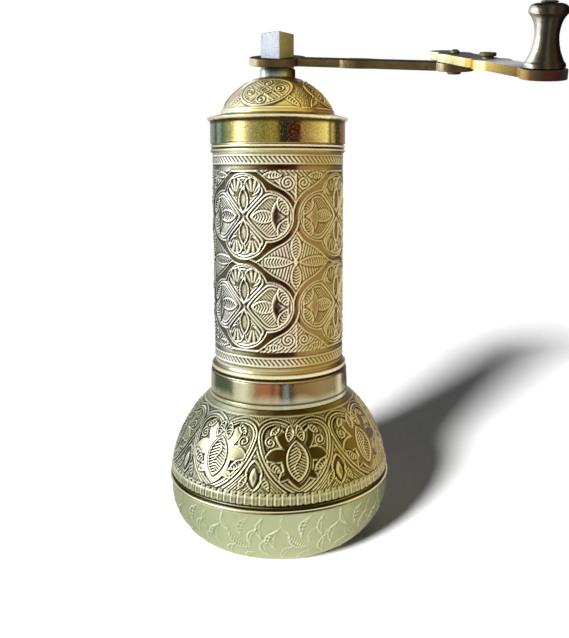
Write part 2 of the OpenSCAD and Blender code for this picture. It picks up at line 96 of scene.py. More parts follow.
# Tones of the metal round each piece, with painted highlights, painted reflections and painted shade of a light
# from the left. A row holds the azimuth in degrees from the front towards +X, and the colours of open ground,
# smooth bands, hollows and ridges
TUBE_TONES = (
    (-180, "b8a26a", "86683a", "3a2e18", "efe3b8"), (-110, "bfae78", "8a7448", "3a2e18", "f2e8c4"),
    (-74, "b8b8a0", "5c6450", "20241c", "fcfcee"), (-60, "cfcfb8", "3c4a38", "202418", "ffffff"),
    (-44, "dcdcc8", "5a6044", "22200e", "ffffff"), (-30, "d4d0ac", "767044", "221c0c", "fffff0"),
    (-18, "ccc494", "5e5226", "20180a", "fffbe4"), (-6, "c4b686", "46320f", "1c140a", "fcf4d8"),
    (5, "c2ae80", "2e160a", "1a0f06", "fbeed2"), (15, "b8a068", "4c2614", "241608", "f8e8c4"),
    (20, "b09650", "946e44", "4c3618", "ecd9a4"), (30, "a68a4a", "9c7c48", "6a5428", "cdb67a"),
    (50, "a08640", "8e7438", "644e24", "c6ae6c"), (64, "907236", "6c4c28", "33230f", "dcc88c"),
    (76, "6a4c28", "4a2c16", "1e140a", "d8c294"), (120, "a88c4c", "7c5c30", "3a2a14", "e6d49c"))
BULB_TONES = (
    (-180, "a8a264", "6e5a2a", "2c2610", "e6dfae"), (-100, "b0ae78", "7a6c3c", "2c2810", "ece8c0"),
    (-72, "a4a88a", "8c9070", "2a2c1a", "f0f4e0"), (-55, "7c8064", "94987c", "202214", "ecefdc"),
    (-38, "868768", "d4d6bc", "222410", "fdfdf0"), (-28, "8e8c68", "d0ceac", "22220c", "fcfae6"),
    (-12, "8a8252", "6e5c32", "181408", "f0eabc"), (2, "7a6a3a", "42310c", "140f07", "e8dca8"),
    (20, "685824", "3a2c08", "120c05", "dccc88"), (36, "6e5a1e", "5c4810", "1c1404", "cab462"),
    (55, "806a30", "7c6424", "2a1e0c", "d2b876"), (72, "5a4726", "483516", "1c140a", "c0a674"),
    (90, "6a5a34", "4c3c1c", "261e0e", "b8a878"), (130, "9a9254", "6a5a2a", "2c2610", "dcd6a0"))
DOME_TONES = (
    (-180, "b0923c", "94762c", "3a2a0e", "eadb92"), (-90, "c4ae5c", "b09440", "4a3a14", "f2eab4"),
    (-60, "faf8e8", "f4f1dc", "a8a070", "ffffff"), (-34, "f8f3d0", "efe8b8", "8a7c3c", "ffffff"),
    (-16, "f2e6a4", "e2d27c", "6a5a24", "fffbdc"), (2, "e4cc70", "d4b958", "584416", "fff6c4"),
    (18, "dcbc5c", "ccac48", "644c14", "fcea9c"), (45, "9c7424", "8c6418", "442a08", "eecb68"),
    (66, "76480f", "623c0e", "301c06", "d8a850"), (110, "a07c28", "8e6c22", "3a280c", "e0c878"))
CUP_TONES = (
    (-180, "b4b98f", "a8ac84", "6c7050", "dfe3c2"), (-80, "9aa080", "90967a", "545a40", "d2d8b8"),
    (-58, "98a07c", "909874", "54593f", "dde3c6"), (-25, "b4bb94", "aeb58c", "6e7454", "e8edd2"),
    (12, "b2b68e", "acb088", "6e7250", "ecefd2"), (34, "a2a67c", "9ca076", "5c5c38", "e2e2bc"),
    (48, "909064", "88885e", "4c4829", "dcdab0"), (62, "78784e", "706e44", "3c3618", "d0ca98"),
    (78, "3c3418", "342c14", "1e1808", "a49c6c"), (110, "8a8a60", "84845a", "545030", "c8c8a0"))
# The tables from here hold single colours, round the piece by azimuth or by the azimuth that a face looks to,
# with the same painted highlights, reflections and shade
LID_TONES = (
    (-180, "a08a3a"), (-110, "a8882e"), (-84, "a08a6c"), (-74, "dcbc9c"), (-68, "a09c84"), (-64, "8ca08c"),
    (-59, "345448"), (-54, "94a890"), (-48, "546850"), (-43, "687048"), (-38, "5c5834"), (-34, "928850"),
    (-30, "d0c68c"), (-24, "d4c880"), (-18, "a0945a"), (-8, "7c702e"), (-3, "94813c"), (2, "84702e"),
    (5, "1e2410"), (9, "14160c"), (11, "3c1008"), (20, "481408"), (22, "94723a"), (30, "b4964c"),
    (38, "d8be5c"), (47, "fae486"), (50, "54461a"), (53, "c8b054"), (58.5, "243008"), (64, "302c06"),
    (66, "8c4208"))
COLLAR_TONES = (
    (-180, "a8986a"), (-130, "cdc49a"), (-95, "8a7c4c"), (-76, "b4b096"), (-66, "a0a080"), (-61, "445238"),
    (-50, "48533a"), (-43, "4c583c"), (-38, "646a4c"), (-34, "b8b896"), (-26, "d4d0aa"), (-20, "a89c74"),
    (-15, "8e6a44"), (-6, "985e38"), (-3, "6c4a34"), (1, "94603c"), (4, "302c26"), (9, "80827a"),
    (12, "34302a"), (16, "745a30"), (24, "7c643a"), (38, "8c744a"), (55, "887450"), (62, "dcd6b4"),
    (67, "5c4024"), (78, "3e2814"), (100, "9c8450"))
BEAD_TONES = (
    (-180, "a88c3c"), (-110, "c0b070"), (-74, "6c5848"), (-60, "84806a"), (-46, "aaa88c"), (-34, "d8d4b4"),
    (-22, "d8d2ac"), (-10, "b8a874"), (5, "a89058"), (25, "a08248"), (45, "9c7c40"), (56, "7a5028"),
    (66, "4c2412"), (110, "a07c34"))
EDGE_TONES = (
    (-180, "8e8238"), (-100, "a8a468"), (-55, "6c7048"), (-36, "a8ac84"), (-24, "eef0d8"), (-10, "b4b07c"),
    (0, "5e4e20"), (14, "3e3010"), (28, "6c5a16"), (38, "b8a42c"), (50, "a8962c"), (64, "54481a"),
    (90, "8e8038"))
SHAFT_TONES = (
    (-180, "8c8a7c"), (-110, "b4b4ac"), (-75, "eef0f0"), (-46, "f2f4f4"), (-40, "78827a"), (-20, "59645c"),
    (-4, "8a9088"), (8, "9a9c90"), (18, "b0a468"), (34, "bca85c"), (46, "a08c4c"), (54, "4c3a1c"),
    (80, "2e2012"), (120, "84806c"))
HEAD_TONES = (
    (-180, "9c9a8c"), (-80, "b4b8c0"), (-36, "bcc2ca"), (15, "c4c8cc"), (22, "3a3424"), (30, "7c6e40"),
    (44, "a4945c"), (58, "8e7c48"), (75, "7a683a"), (120, "8a8672"))
INNER_LINK_TONES = (
    (-180, "4a3e28"), (-110, "b8b08a"), (-75, "f0ecd4"), (-52, "c8c098"), (-38, "6a5a3a"), (-22, "4e4028"),
    (-12, "463722"), (10, "58462c"), (30, "4a3a24"), (60, "3a2e1c"), (110, "4a3c26"))
# The outer link's side and top take their colours by distance from the fold in millimetres: painted reflections
# along its front edge and top
OUTER_SIDE_TONES = (
    (-12, "f2f0da"), (-4, "e6e0b0"), (3, "efe9bc"), (9, "d8cf94"), (15, "e6dfae"), (18.5, "c9b24e"),
    (22, "b89a3a"), (26, "f0e6a4"), (29, "bca860"), (36, "947e48"), (44, "6e5a34"))
OUTER_TOP_TONES = (
    (-12, "0c0a08"), (-5, "100e0c"), (2, "161214"), (12, "241e28"), (20, "3a3442"), (25, "7c7a84"),
    (34, "a6a6ae"), (42, "80808a"), (48, "282420"))
PLATE_TONES = (
    (-120, "8c7444"), (-80, "b09858"), (-66, "947848"), (-52, "4c3820"), (-32, "342616"), (-10, "2c160e"),
    (8, "34100c"), (30, "1e0808"), (60, "0c0605"), (120, "2a1c14"))
RIVET_TONES = (
    (-180, "4a4434"), (-80, "b0a684"), (-44, "7c7250"), (-15, "544c32"), (10, "423a28"), (50, "221c12"),
    (110, "38301f"))
KNOB_TONES = (
    (-180, "5a584c"), (-130, "a0a098"), (-102, "d8d8d4"), (-66, "f6f6f4"), (-54, "d4d4cc"), (-45, "5c5846"),
    (-32, "36322a"), (-20, "28241c"), (-8, "464132"), (4, "2a251b"), (18, "38261e"), (32, "1e1812"),
    (50, "100d0a"), (66, "060504"), (100, "100e0a"), (140, "32302a"))


# --- Shader helpers ----------------------------------------


class Value:
    """An output of a node graph, as a number that ordinary sums can use."""

    def __init__(self, graph, socket):
        self.graph, self.socket = graph, socket

    def _sum(self, kind, other, swap=False):
        first, second = (other, self) if swap else (self, other)
        return self.graph.node("ShaderNodeMath", {"operation": kind}, {0: first, 1: second})

    def __add__(self, other):
        return self._sum("ADD", other)

    def __radd__(self, other):
        return self._sum("ADD", other, swap=True)

    def __sub__(self, other):
        return self._sum("SUBTRACT", other)

    def __rsub__(self, other):
        return self._sum("SUBTRACT", other, swap=True)

    def __mul__(self, other):
        return self._sum("MULTIPLY", other)

    def __rmul__(self, other):
        return self._sum("MULTIPLY", other, swap=True)

    def __truediv__(self, other):
        return self._sum("DIVIDE", other)

    def __rtruediv__(self, other):
        return self._sum("DIVIDE", other, swap=True)

    def clamp(self):
        return self.graph.node("ShaderNodeClamp", {}, {0: self})

    def band(self, low, high):
        """0 below low, 1 above high, and a smooth step between."""
        return self.graph.node("ShaderNodeMapRange", {"interpolation_type": "SMOOTHSTEP"},
                               {"Value": self, "From Min": low, "From Max": high})


class Graph:
    """The node graph of a material or of the world."""

    def __init__(self, name, world=False):
        self.owner = (bpy.data.worlds if world else bpy.data.materials).new(name)
        self.owner.use_nodes = True
        self.tree = self.owner.node_tree
        self.tree.nodes.clear()
        self.end = self.tree.nodes.new("ShaderNodeOutputWorld" if world else "ShaderNodeOutputMaterial")

    def node(self, kind, settings=None, inputs=None, output=0):
        """Adds a node. Inputs that are values are linked, and others are set."""
        made = self.tree.nodes.new(kind)
        for key, value in (settings or {}).items():
            setattr(made, key, value)
        for key, value in (inputs or {}).items():
            socket = made.inputs[key]
            if isinstance(value, Value):
                self.tree.links.new(value.socket, socket)
            else:
                socket.default_value = value
        return Value(self, made.outputs[output])

    def point(self):
        """Where a point of the piece lies, in millimetres."""
        place = self.node("ShaderNodeTexCoord", output="Object")
        return self.node("ShaderNodeVectorMath", {"operation": "SCALE"}, {0: place, "Scale": 1 / MM})

    def parts(self, vector):
        """The three numbers of a vector."""
        first = self.node("ShaderNodeSeparateXYZ", {}, {0: vector})
        return [Value(self, socket) for socket in first.socket.node.outputs]

    def around(self, vector):
        """Azimuth in degrees about an upright axis: 0 at the front, growing towards +X."""
        x, y, _ = self.parts(vector)
        return self.node("ShaderNodeMath", {"operation": "ARCTAN2"}, {0: x, 1: 0.0 - y}) * (180 / math.pi)

    def facing(self):
        """Azimuth that the surface faces, in degrees, and how far it faces up, from -1 to 1."""
        normal = self.node("ShaderNodeTexCoord", output="Normal")
        return self.around(normal), self.parts(normal)[2]

    def along(self, point, matrix):
        """How far a point lies along the first axis of a frame, in millimetres."""
        way, start = matrix.to_3x3().col[0], matrix.translation / MM
        length = self.node("ShaderNodeVectorMath", {"operation": "DOT_PRODUCT"}, {0: point, 1: way}, "Value")
        return length - start.dot(way)

    def ramp(self, value, stops, low=-180.0, high=180.0):
        """A colour that changes with the value between stops. Round the whole circle, it ends as it begins."""
        if (low, high) == (-180.0, 180.0):
            stops = [*stops, (180, stops[0][1])]
        made = self.node("ShaderNodeValToRGB", {}, {0: (value - low) / (high - low)})
        band = made.socket.node.color_ramp
        for k, (at, code) in enumerate(stops):
            share = (at - low) / (high - low)
            stop = band.elements[k] if k < 2 else band.elements.new(share)
            stop.position, stop.color = share, (*linear(code), 1.0)
        return made

    def stretch(self, point, factors):
        """The point with each of its numbers multiplied by its own factor."""
        return self.node("ShaderNodeVectorMath", {"operation": "MULTIPLY"}, {0: point, 1: factors})

    def noise(self, point, grain, detail=3.0, rough=0.55, warp=0.0):
        """Cloudy noise whose lumps are about as wide as the grain, in millimetres."""
        return self.node("ShaderNodeTexNoise", {}, {
            "Vector": point, "Scale": 1 / grain, "Detail": detail, "Roughness": rough, "Distortion": warp})

    def cells(self, point, grain):
        """Distance from the middles of small round cells."""
        return self.node("ShaderNodeTexVoronoi", {}, {"Vector": point, "Scale": 1 / grain})

    def mark(self, name):
        """A number stored on the piece's points."""
        return self.node("ShaderNodeAttribute", {"attribute_name": name}, output="Fac")

    def blend(self, amount, first, second):
        """A colour between two, by the amount."""
        # The node has sockets for numbers, vectors and colours: 6 and 7 are the colours, and output 2 their mix
        first, second = (value if isinstance(value, Value) else (*value, 1.0) for value in (first, second))
        return self.node("ShaderNodeMix", {"data_type": "RGBA"}, {0: amount, 6: first, 7: second}, output=2)

    def bump(self, height, depth, strength):
        """A normal from a height between 0 and 1, which stands for a depth in millimetres."""
        return self.node("ShaderNodeBump", {}, {"Height": height, "Distance": depth * MM, "Strength": strength})

    def seen(self):
        """1 for the rays that see the background: from the camera, off gloss and through glass."""
        rays = self.node("ShaderNodeLightPath").socket.node.outputs
        names = ("Is Camera Ray", "Is Glossy Ray", "Is Transmission Ray")
        camera, gloss, clear = (Value(self, rays[name]) for name in names)
        return (camera + gloss + clear).clamp()

    def close(self, shader):
        """Ends the graph in its shader, and gives the material or world."""
        self.tree.links.new(shader.socket, self.end.inputs["Surface"])
        return self.owner

    def surface(self, colour, rough, normal, metal=1.0, rim=0.6):
        """Ends the graph in a metal whose slanting edges mirror only the rim's share of the light."""
        return self.close(self.node("ShaderNodeBsdfPrincipled", {}, {
            "Base Color": colour, "Roughness": rough, "Metallic": metal, "Normal": normal,
            "Specular Tint": (rim, rim, rim, 1.0)}))


def linear(code):
    """A colour written as six hex digits, as linear values."""
    parts = [int(code[i:i + 2], 16) / 255 for i in (0, 2, 4)]
    return tuple(p / 12.92 if p < 0.04045 else ((p + 0.055) / 1.055) ** 2.4 for p in parts)


def chased(name, tones, rough=0.3, stain=0.3, foot=None):
    """Chased brass with dotted grounds, painted highlights on its ridges and on slopes turned left and up, and
    painted shade in its hollows and on slopes turned away. A row of tones holds an azimuth and the colours of
    the open ground, of smooth bands, of hollows and of ridges, which carry painted highlights, reflections and
    shade round the piece. A foot holds two heights and a colour: the ground takes some of the colour below
    them."""
    g = Graph(name)
    point = g.point()
    clouds = g.noise(point, 12.0, detail=4.0, rough=0.6, warp=0.6)
    spots = g.noise(point, 3.2, detail=4.0, rough=0.65)
    grain = g.noise(point, 0.35, detail=2.0)
    cavity, ridge, smooth, stipple, lean = (g.mark(name) for name in MARKS)
    around = g.around(point) + (clouds - 0.5) * 16 + (spots - 0.5) * 8
    # The tones by azimuth paint the highlights, reflections and shade of a light from the left
    ground, band, hollow, glint = (g.ramp(around, [(row[0], row[k]) for row in tones]) for k in (1, 2, 3, 4))
    dot = (1.0 - g.cells(point, 0.62).band(0.16, 0.42)) * stipple
    colour = g.blend((smooth * (1.1 + (spots - 0.5) * 0.9)).clamp(), ground, band)
    if foot:
        low, high, code = foot
        colour = g.blend((1.0 - g.parts(point)[2].band(low, high)) * 0.6, colour, linear(code))
    colour = g.blend(spots.band(0.56, 0.8) * stain, colour, hollow)
    colour = g.blend((stipple * 0.12 + dot * 0.5) * (1.0 - ridge), colour, hollow)
    # Painted shade in the hollows
    colour = g.blend((cavity * (0.85 + grain * 0.3)).clamp(), colour, hollow)
    # Painted shade on slopes turned away from the upper left
    colour = g.blend((0.0 - lean).clamp() * 0.95, colour, hollow)
    # Painted highlight on ridges and on slopes turned to the upper left
    colour = g.blend((ridge * 0.7 + lean * 0.8).clamp(), colour, glint)
    finish = (rough + clouds * 0.1 + cavity * 0.25 + stipple * 0.12 + grain * 0.06 - ridge * 0.06).clamp()
    height = grain * 0.12 + spots * 0.3 + dot * -1.1
    return g.surface(colour, finish, g.bump(height, 0.12, 0.8), rim=0.85)


def polished(name, tones, dark, rough=0.16, stain=0.3, wander=7.0, sill=None, grain=0.1):
    """Polished brass whose colour by azimuth runs in soft upright streaks, which on the collar, beads, lid and
    rolled edge are painted reflections, with painted shade in its grooves, painted highlights on its beads,
    scratches and stains. A sill holds two heights, between which the streaks fade down, and the pale colour
    that they fade into, a painted reflection."""
    g = Graph(name)
    point = g.point()
    clouds = g.noise(g.stretch(point, (1.0, 1.0, 0.35)), 9.0, warp=0.8)
    spots = g.noise(point, 2.4, detail=4.0, rough=0.65)
    speck = g.noise(point, 0.6, rough=0.7)
    fine = g.noise(g.stretch(point, (0.25, 0.25, 2.2)), 0.5)
    grit = g.noise(point, 0.32, detail=2.0, rough=0.6)
    # The tones by azimuth, in soft streaks: painted reflections on the pieces in view
    colour = g.ramp(g.around(point) + (clouds - 0.5) * wander + (speck - 0.5) * wander * 1.4, tones)
    colour = g.blend(grit.band(0.5, 0.66) * grain, colour, dark)
    colour = g.blend(grit.band(0.44, 0.3) * (grain * 0.4), colour, linear("f4ecb8"))
    if sill:
        low, high, code = sill
        height = g.parts(point)[2] + (clouds - 0.5) * 5
        # Painted reflection: paler low on the piece
        colour = g.blend((1.0 - height.band(low, high)) * 0.55, colour, linear(code))
    colour = g.blend(spots.band(0.55, 0.78) * stain, colour, dark)
    # Painted shade in the grooves
    colour = g.blend((g.mark("cavity") * (0.9 + speck * 0.2)).clamp(), colour, dark)
    # Painted highlight on the beads
    colour = g.blend((g.mark("ridge") * 0.75).clamp(), colour, linear("f8f0c8"))
    finish = (rough + clouds * 0.12 + spots * 0.08).clamp()
    return g.surface(colour, finish, g.bump(fine * 0.5 + spots * 0.5, 0.05, 0.6))


def aged(name, colour_of, dark, rough=0.36, pits=0.4, grain=5.0, metal=0.95, speck=1.1):
    """Aged bronze or steel: cloudy patches and small pits over a colour that changes over the piece."""
    g = Graph(name)
    point = g.point()
    clouds = g.noise(point, grain, detail=4.0, rough=0.6, warp=0.8)
    spots = g.noise(point, speck, detail=4.0, rough=0.65)
    cast = g.noise(point, 0.3, detail=2.0)
    colour = colour_of(g, point, (clouds - 0.5) + (spots - 0.5) * 0.5)
    colour = g.blend(spots.band(0.52, 0.76) * pits, colour, dark)
    finish = (rough + spots * 0.16 + cast * 0.08).clamp()
    return g.surface(colour, finish, g.bump(spots * 0.7 + cast * 0.3, 0.12, 0.7), metal, 0.3)


def by_facing(tones, top, under, wander=22.0):
    """A colour by the azimuth that a face looks to, which paints highlights, reflections and shade as from a
    light on the left.
    Faces that look up are mottled in two others, and faces that look down have one: painted reflections and
    painted shade too."""
    def colour_of(g, point, cloud):
        facing, rise = g.facing()
        side = g.ramp(facing + cloud * wander, tones)
        mottled = g.ramp(cloud + 0.5, ((0.0, top[0]), (1.0, top[1])), 0.0, 1.0)
        side = g.blend((rise + cloud * 0.15).band(0.55, 0.85), side, mottled)
        return g.blend((0.0 - rise).band(0.55, 0.85), side, linear(under))
    return colour_of


# --- Shapes ------------------------------------------------


def place(piece, body, slot, node):
    """Links a new piece, and makes it ride on its body in place of the solid it stands for."""
    bpy.context.scene.collection.objects.link(piece)
    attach(piece, body)
    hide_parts(node)


def along(points, spacing):
    """The line through the points, with a point at least every spacing."""
    out = []
    for (r0, z0), (r1, z1) in zip(points, points[1:]):
        steps = max(1, int(math.ceil(math.hypot(r1 - r0, z1 - z0) / spacing)))
        out += [(r0 + (r1 - r0) * i / steps, z0 + (z1 - z0) * i / steps) for i in range(steps)]
    return out + [points[-1]]


def off(radius, z, *steps):
    """Points of a profile, each given by its steps out and up from one radius and height."""
    return [(radius + out, z + up) for out, up in steps]


def arc(middle, radius, low, high, steps):
    """Points on a round curve between two angles from +r towards +z, in degrees."""
    angles = np.radians(np.linspace(low, high, steps))
    return [(middle[0] + radius * math.cos(a), middle[1] + radius * math.sin(a)) for a in angles]


def standing(wall, run, reach=1.3):
    """How far each point of a profile stands out over its neighbours, in millimetres."""
    steps = np.hypot(*np.diff(wall, axis=0).T)
    at = np.concatenate([[0], np.cumsum(steps)])
    near = np.abs(at[:, None] - at[None, :]) < reach
    mean = (near[:, :, None] * wall[None, :, :]).sum(1) / near.sum(1)[:, None]
    out = wall - mean
    rise = out[:, 0] * run[:, 1] - out[:, 1] * run[:, 0]
    edge = np.minimum(at, at[-1] - at) < reach * 0.6
    return np.where(edge, 0.0, rise)


def lathe(name, wall, back, turns, material, relief=None, depth=1.0, smooth_angle=40.0):
    """A closed body of revolution. Its wall runs up the outside and may carry a relief, and its back closes it.
    A relief is a function of azimuth, of the wall's points and of a depth that gives millimetres and marks."""
    wall, back = np.array(wall, float), np.array(back, float)
    outline = np.vstack([wall, back])
    count, rows = len(outline), len(wall)
    azimuth = np.arange(turns) / turns * math.tau
    r = np.repeat(outline[None, :, 0], turns, 0)
    z = np.repeat(outline[None, :, 1], turns, 0)
    run = np.gradient(wall, axis=0)
    run /= np.maximum(np.hypot(run[:, 0], run[:, 1]), 1e-9)[:, None]
    if relief is None:
        # Grooves and beads of a plain profile, for painted shade in the grooves and painted highlights on the
        # beads
        rise = standing(wall, run)
        marks = {"cavity": np.clip(-rise * 14.0 - 0.2, 0, 1), "ridge": np.clip(rise * 8.0 - 0.4, 0, 1)}
    else:
        height, marks = relief(azimuth[:, None] * np.ones((1, rows)), r[:, :rows], z[:, :rows], depth)
        r[:, :rows] += height * run[None, :, 1]
        z[:, :rows] -= height * run[None, :, 0]
    points = np.stack([r * np.sin(azimuth)[:, None], -r * np.cos(azimuth)[:, None], z], -1).reshape(-1, 3) * MM
    i, j = np.meshgrid(np.arange(turns), np.arange(count), indexing="ij")
    i2, j2 = (i + 1) % turns, (j + 1) % count
    quads = np.stack([i * count + j, i2 * count + j, i2 * count + j2, i * count + j2], -1).reshape(-1, 4)
    mesh = bpy.data.meshes.new(name)
    mesh.vertices.add(len(points))
    mesh.vertices.foreach_set("co", points.ravel())
    mesh.loops.add(quads.size)
    mesh.loops.foreach_set("vertex_index", quads.ravel().astype(np.int32))
    mesh.polygons.add(len(quads))
    mesh.polygons.foreach_set("loop_start", np.arange(0, quads.size, 4, dtype=np.int32))
    mesh.update(calc_edges=True)
    for key in MARKS:
        full = np.zeros((turns, count))
        full[:, :rows] = marks.get(key, 0.0)
        stored = mesh.attributes.new(key, "FLOAT", "POINT")
        stored.data.foreach_set("value", full.ravel())
    mesh.shade_smooth()
    if relief is None:
        mesh.set_sharp_from_angle(angle=math.radians(smooth_angle))
    mesh.materials.append(material)
    return bpy.data.objects.new(name, mesh)


def solid(name, shape, material):
    """An object of a finished shape, with its edges kept sharp."""
    mesh = bpy.data.meshes.new(name)
    shape.to_mesh(mesh)
    shape.free()
    mesh.shade_smooth()
    mesh.set_sharp_from_angle(angle=SHARP)
    mesh.materials.append(material)
    return bpy.data.objects.new(name, mesh)


def plate(name, outline, holes, low, high, material, edge=0.22):
    """A flat plate with holes and softened edges, between two heights in millimetres."""
    shape = bmesh.new()
    edges = []
    for ring in [outline, *holes]:
        corners = [shape.verts.new((x * MM, y * MM, low * MM)) for x, y in ring]
        edges += [shape.edges.new((a, b)) for a, b in zip(corners, corners[1:] + corners[:1])]
    flat = bmesh.ops.triangle_fill(shape, use_beauty=True, use_dissolve=True, edges=edges)
    faces = [f for f in flat["geom"] if isinstance(f, bmesh.types.BMFace)]
    raised = bmesh.ops.extrude_face_region(shape, geom=faces)
    bmesh.ops.translate(shape, vec=(0, 0, (high - low) * MM),
                        verts=[v for v in raised["geom"] if isinstance(v, bmesh.types.BMVert)])
    bmesh.ops.recalc_face_normals(shape, faces=shape.faces)
    shape.normal_update()
    rims = [e for e in shape.edges if len(e.link_faces) == 2 and e.calc_face_angle(0) > math.radians(50)
            and abs(e.verts[0].co.z - e.verts[1].co.z) < 1e-7]
    bmesh.ops.bevel(shape, geom=rims, offset=edge * MM, segments=3, profile=0.5, affect="EDGES",
                    clamp_overlap=True)
    return solid(name, shape, material)


def link_outline(width_at, start, end, step=0.2, tip=1.2):
    """The outline of a flat link from its half width along its length, with its points closer at the tips."""
    s = np.concatenate([start + (1 - np.cos(np.linspace(0, math.pi / 2, 24))) * tip,
                        np.arange(start + tip, end - tip, step),
                        end - (1 - np.cos(np.linspace(math.pi / 2, 0, 24))) * tip])
    s = np.unique(np.round(s, 5))
    w = np.array([max(width_at(x), 0.0) for x in s])
    top = [(x, y) for x, y in zip(s, w)]
    low = [(x, -y) for x, y in zip(s[::-1], w[::-1]) if y > 1e-6]
    return [p for k, p in enumerate(top) if p[1] > 1e-6 or k in (0, len(top) - 1)] + low


def disc_half(x, middle, radius):
    """Half the width of a disc where x crosses it."""
    return math.sqrt(max(0.0, radius ** 2 - (x - middle) ** 2))


def leaf_half(x, middle, length, width):
    """Half the width of a pointed leaf where x crosses it."""
    a, b = length / 2, width / 2
    curve = (a * a + b * b) / (2 * b)
    return math.sqrt(max(0.0, curve ** 2 - (x - middle) ** 2)) - (curve - b) if abs(x - middle) < a else 0.0


def crank_frame(turn=None):
    """The crank's flat frame or, with a turn, the frame of a link that turns that far at the fold."""
    flat = (Matrix.Translation((0, 0, HUB_Z * MM)) @ Matrix.Rotation(math.radians(LEAN), 4, "Y")
            @ Matrix.Rotation(math.radians(DROOP), 4, "X"))
    if turn is None:
        return flat
    way = math.radians(INNER_TURN)
    fold = Vector((INNER_LEN * math.cos(way), INNER_LEN * math.sin(way), 0))
    return flat @ Matrix.Translation(fold * MM) @ Matrix.Rotation(math.radians(turn), 4, "Z")


def settle(piece, matrix):
    """Moves a piece's points and leaves the piece itself at the origin."""
    piece.data.transform(matrix)
    piece.data.update()
    return piece


def on_outer_link(piece, reach=0.0):
    """Settles a piece on the outer link, at a distance from the fold in millimetres."""
    return settle(piece, crank_frame(OUTER_TURN) @ Matrix.Translation((reach * MM, 0, 0)))


# --- Chased ornament ---------------------------------------


class Relief:
    """A height in millimetres over a wall, laid down layer by layer as a chaser works it."""

    def __init__(self, like, depth):
        self.height, self.plain, self.stipple = (np.zeros_like(like) for _ in range(3))
        self.depth = depth

    def lay(self, distance, height, plain=0.0, stipple=0.0, soft=0.16):
        """Inside the shape, where distance is below zero, the ground takes this height and finish."""
        mask = np.clip(0.5 - distance / soft, 0, 1)
        self.height += (height - self.height) * mask
        self.plain += (plain - self.plain) * mask
        self.stipple += (stipple - self.stipple) * mask

    def line(self, distance, width, height, where=1.0):
        """A ridge, or a groove where the height is negative, along the zero of the distance."""
        mask = np.exp(-(distance / width) ** 2) * where
        self.height += height * mask
        self.stipple *= 1 - np.clip(mask * 1.4, 0, 1)
        if height > 0:
            self.plain *= 1 - np.clip(mask, 0, 1)

    def marks(self, near=2, step=0.26, cavity=25.0, ridge=17.0, slope=2.4):
        """Hollows, ridges and the slopes turned to the left and up, from each point's neighbours. They place
        painted shade and painted highlights as from a light at the upper left.
        """
        soft = self.height
        for _ in range(2):
            soft = sum(np.roll(soft, k, 0) for k in range(-near, near + 1)) / (2 * near + 1)
            padded = np.pad(soft, ((0, 0), (near, near)), mode="edge")
            soft = sum(padded[:, k:k + soft.shape[1]] for k in range(2 * near + 1)) / (2 * near + 1)
        rise = self.height - soft
        across = (np.roll(self.height, -1, 0) - np.roll(self.height, 1, 0)) / (2 * step)
        up = np.gradient(self.height, step, axis=1)
        return self.height * self.depth, {
            "cavity": np.clip(-rise * cavity - 0.08, 0, 1), "ridge": np.clip(rise * ridge - 0.15, 0, 1),
            "plain": np.clip(self.plain, 0, 1), "stipple": np.clip(self.stipple, 0, 1),
            "lean": np.clip((across - 0.5 * up) * slope, -1, 1)}


def strokes(run, pitch):
    """Even waves across a run, between -1 and 1."""
    return np.sin(math.tau * run / pitch)


def net(x, y, pitch):
    """Strokes crossed in a net."""
    return strokes(x + y, pitch) * strokes(x - y, pitch)


def wrap(value, pitch):
    """The value's distance from the nearest multiple of the pitch."""
    return (value + pitch / 2) % pitch - pitch / 2


def leaf_shape(a, b, length, width):
    """Signed distance to a leaf pointed at both ends, of half length and half width."""
    curve = (length ** 2 + width ** 2) / (2 * width)
    return np.hypot(a, np.abs(b) + curve - width) - curve


def turned(x, y, degrees):
    """The point in axes turned by the degrees."""
    c, s = math.cos(math.radians(degrees)), math.sin(math.radians(degrees))
    return x * c + y * s, -x * s + y * c


def spiral(r, x, y, radius, pitch, hand, height=0.16):
    """A scroll that winds out from its middle."""
    rho = np.hypot(x, y)
    phase = rho / pitch - hand * np.arctan2(y, x) / math.tau
    inside = np.clip((radius - rho) / 0.2, 0, 1)
    r.lay(rho - radius, -0.06, soft=0.2)
    r.height += (np.cos(math.tau * phase) * height) * inside


def leaf(r, a, b, length, width, kind="hatched", outline=0.17):
    """A leaf with a raised edge. It is filled with strokes, with dots or left plain."""
    d = leaf_shape(a, b, length, width)
    r.lay(d, -0.08, stipple=1.0 if kind == "dotted" else 0.0, plain=1.0 if kind == "plain" else 0.0)
    inside = np.clip(-d / 0.3, 0, 1)
    if kind == "hatched":
        r.height += 0.14 * strokes(a + 0.5 * np.abs(b), 0.95) * inside
    elif kind == "plain":
        r.height += 0.2 * inside
    r.line(d, 0.24, outline)
    r.line(d - 0.5, 0.2, -0.12)


def petal(r, a, b, reach, radius):
    """A round petal that narrows between the medallion's diagonals, with a double outline."""
    circle, wedge = np.hypot(a - reach, b) - radius, (np.abs(b) * 0.98 - a) * 0.7071 + 0.55
    d = (circle + wedge + np.hypot(circle - wedge, 0.9)) / 2 - 0.15
    r.lay(d, -0.1, stipple=1.0)
    inside = np.clip(-d - 1.0, 0, 1)
    r.height += 0.08 * strokes(a + np.abs(b), 1.05) * inside
    r.line(d + 0.1, 0.25, 0.32)
    r.line(d + 0.6, 0.2, -0.16)
    r.line(d + 1.0, 0.2, 0.16)


def quatrefoil(x, y, soft=0.0):
    """Distance to four round petals run together, with corners between them that can be softened."""
    wide, tall = np.hypot(np.abs(x) - 8.6, y) - 8.1, np.hypot(x, np.abs(y) - 5.4) - 8.4
    if soft == 0.0:
        return np.minimum(wide, tall)
    share = np.clip(0.5 + 0.5 * (tall - wide) / soft, 0, 1)
    return tall * (1 - share) + wide * share - soft * share * (1 - share)


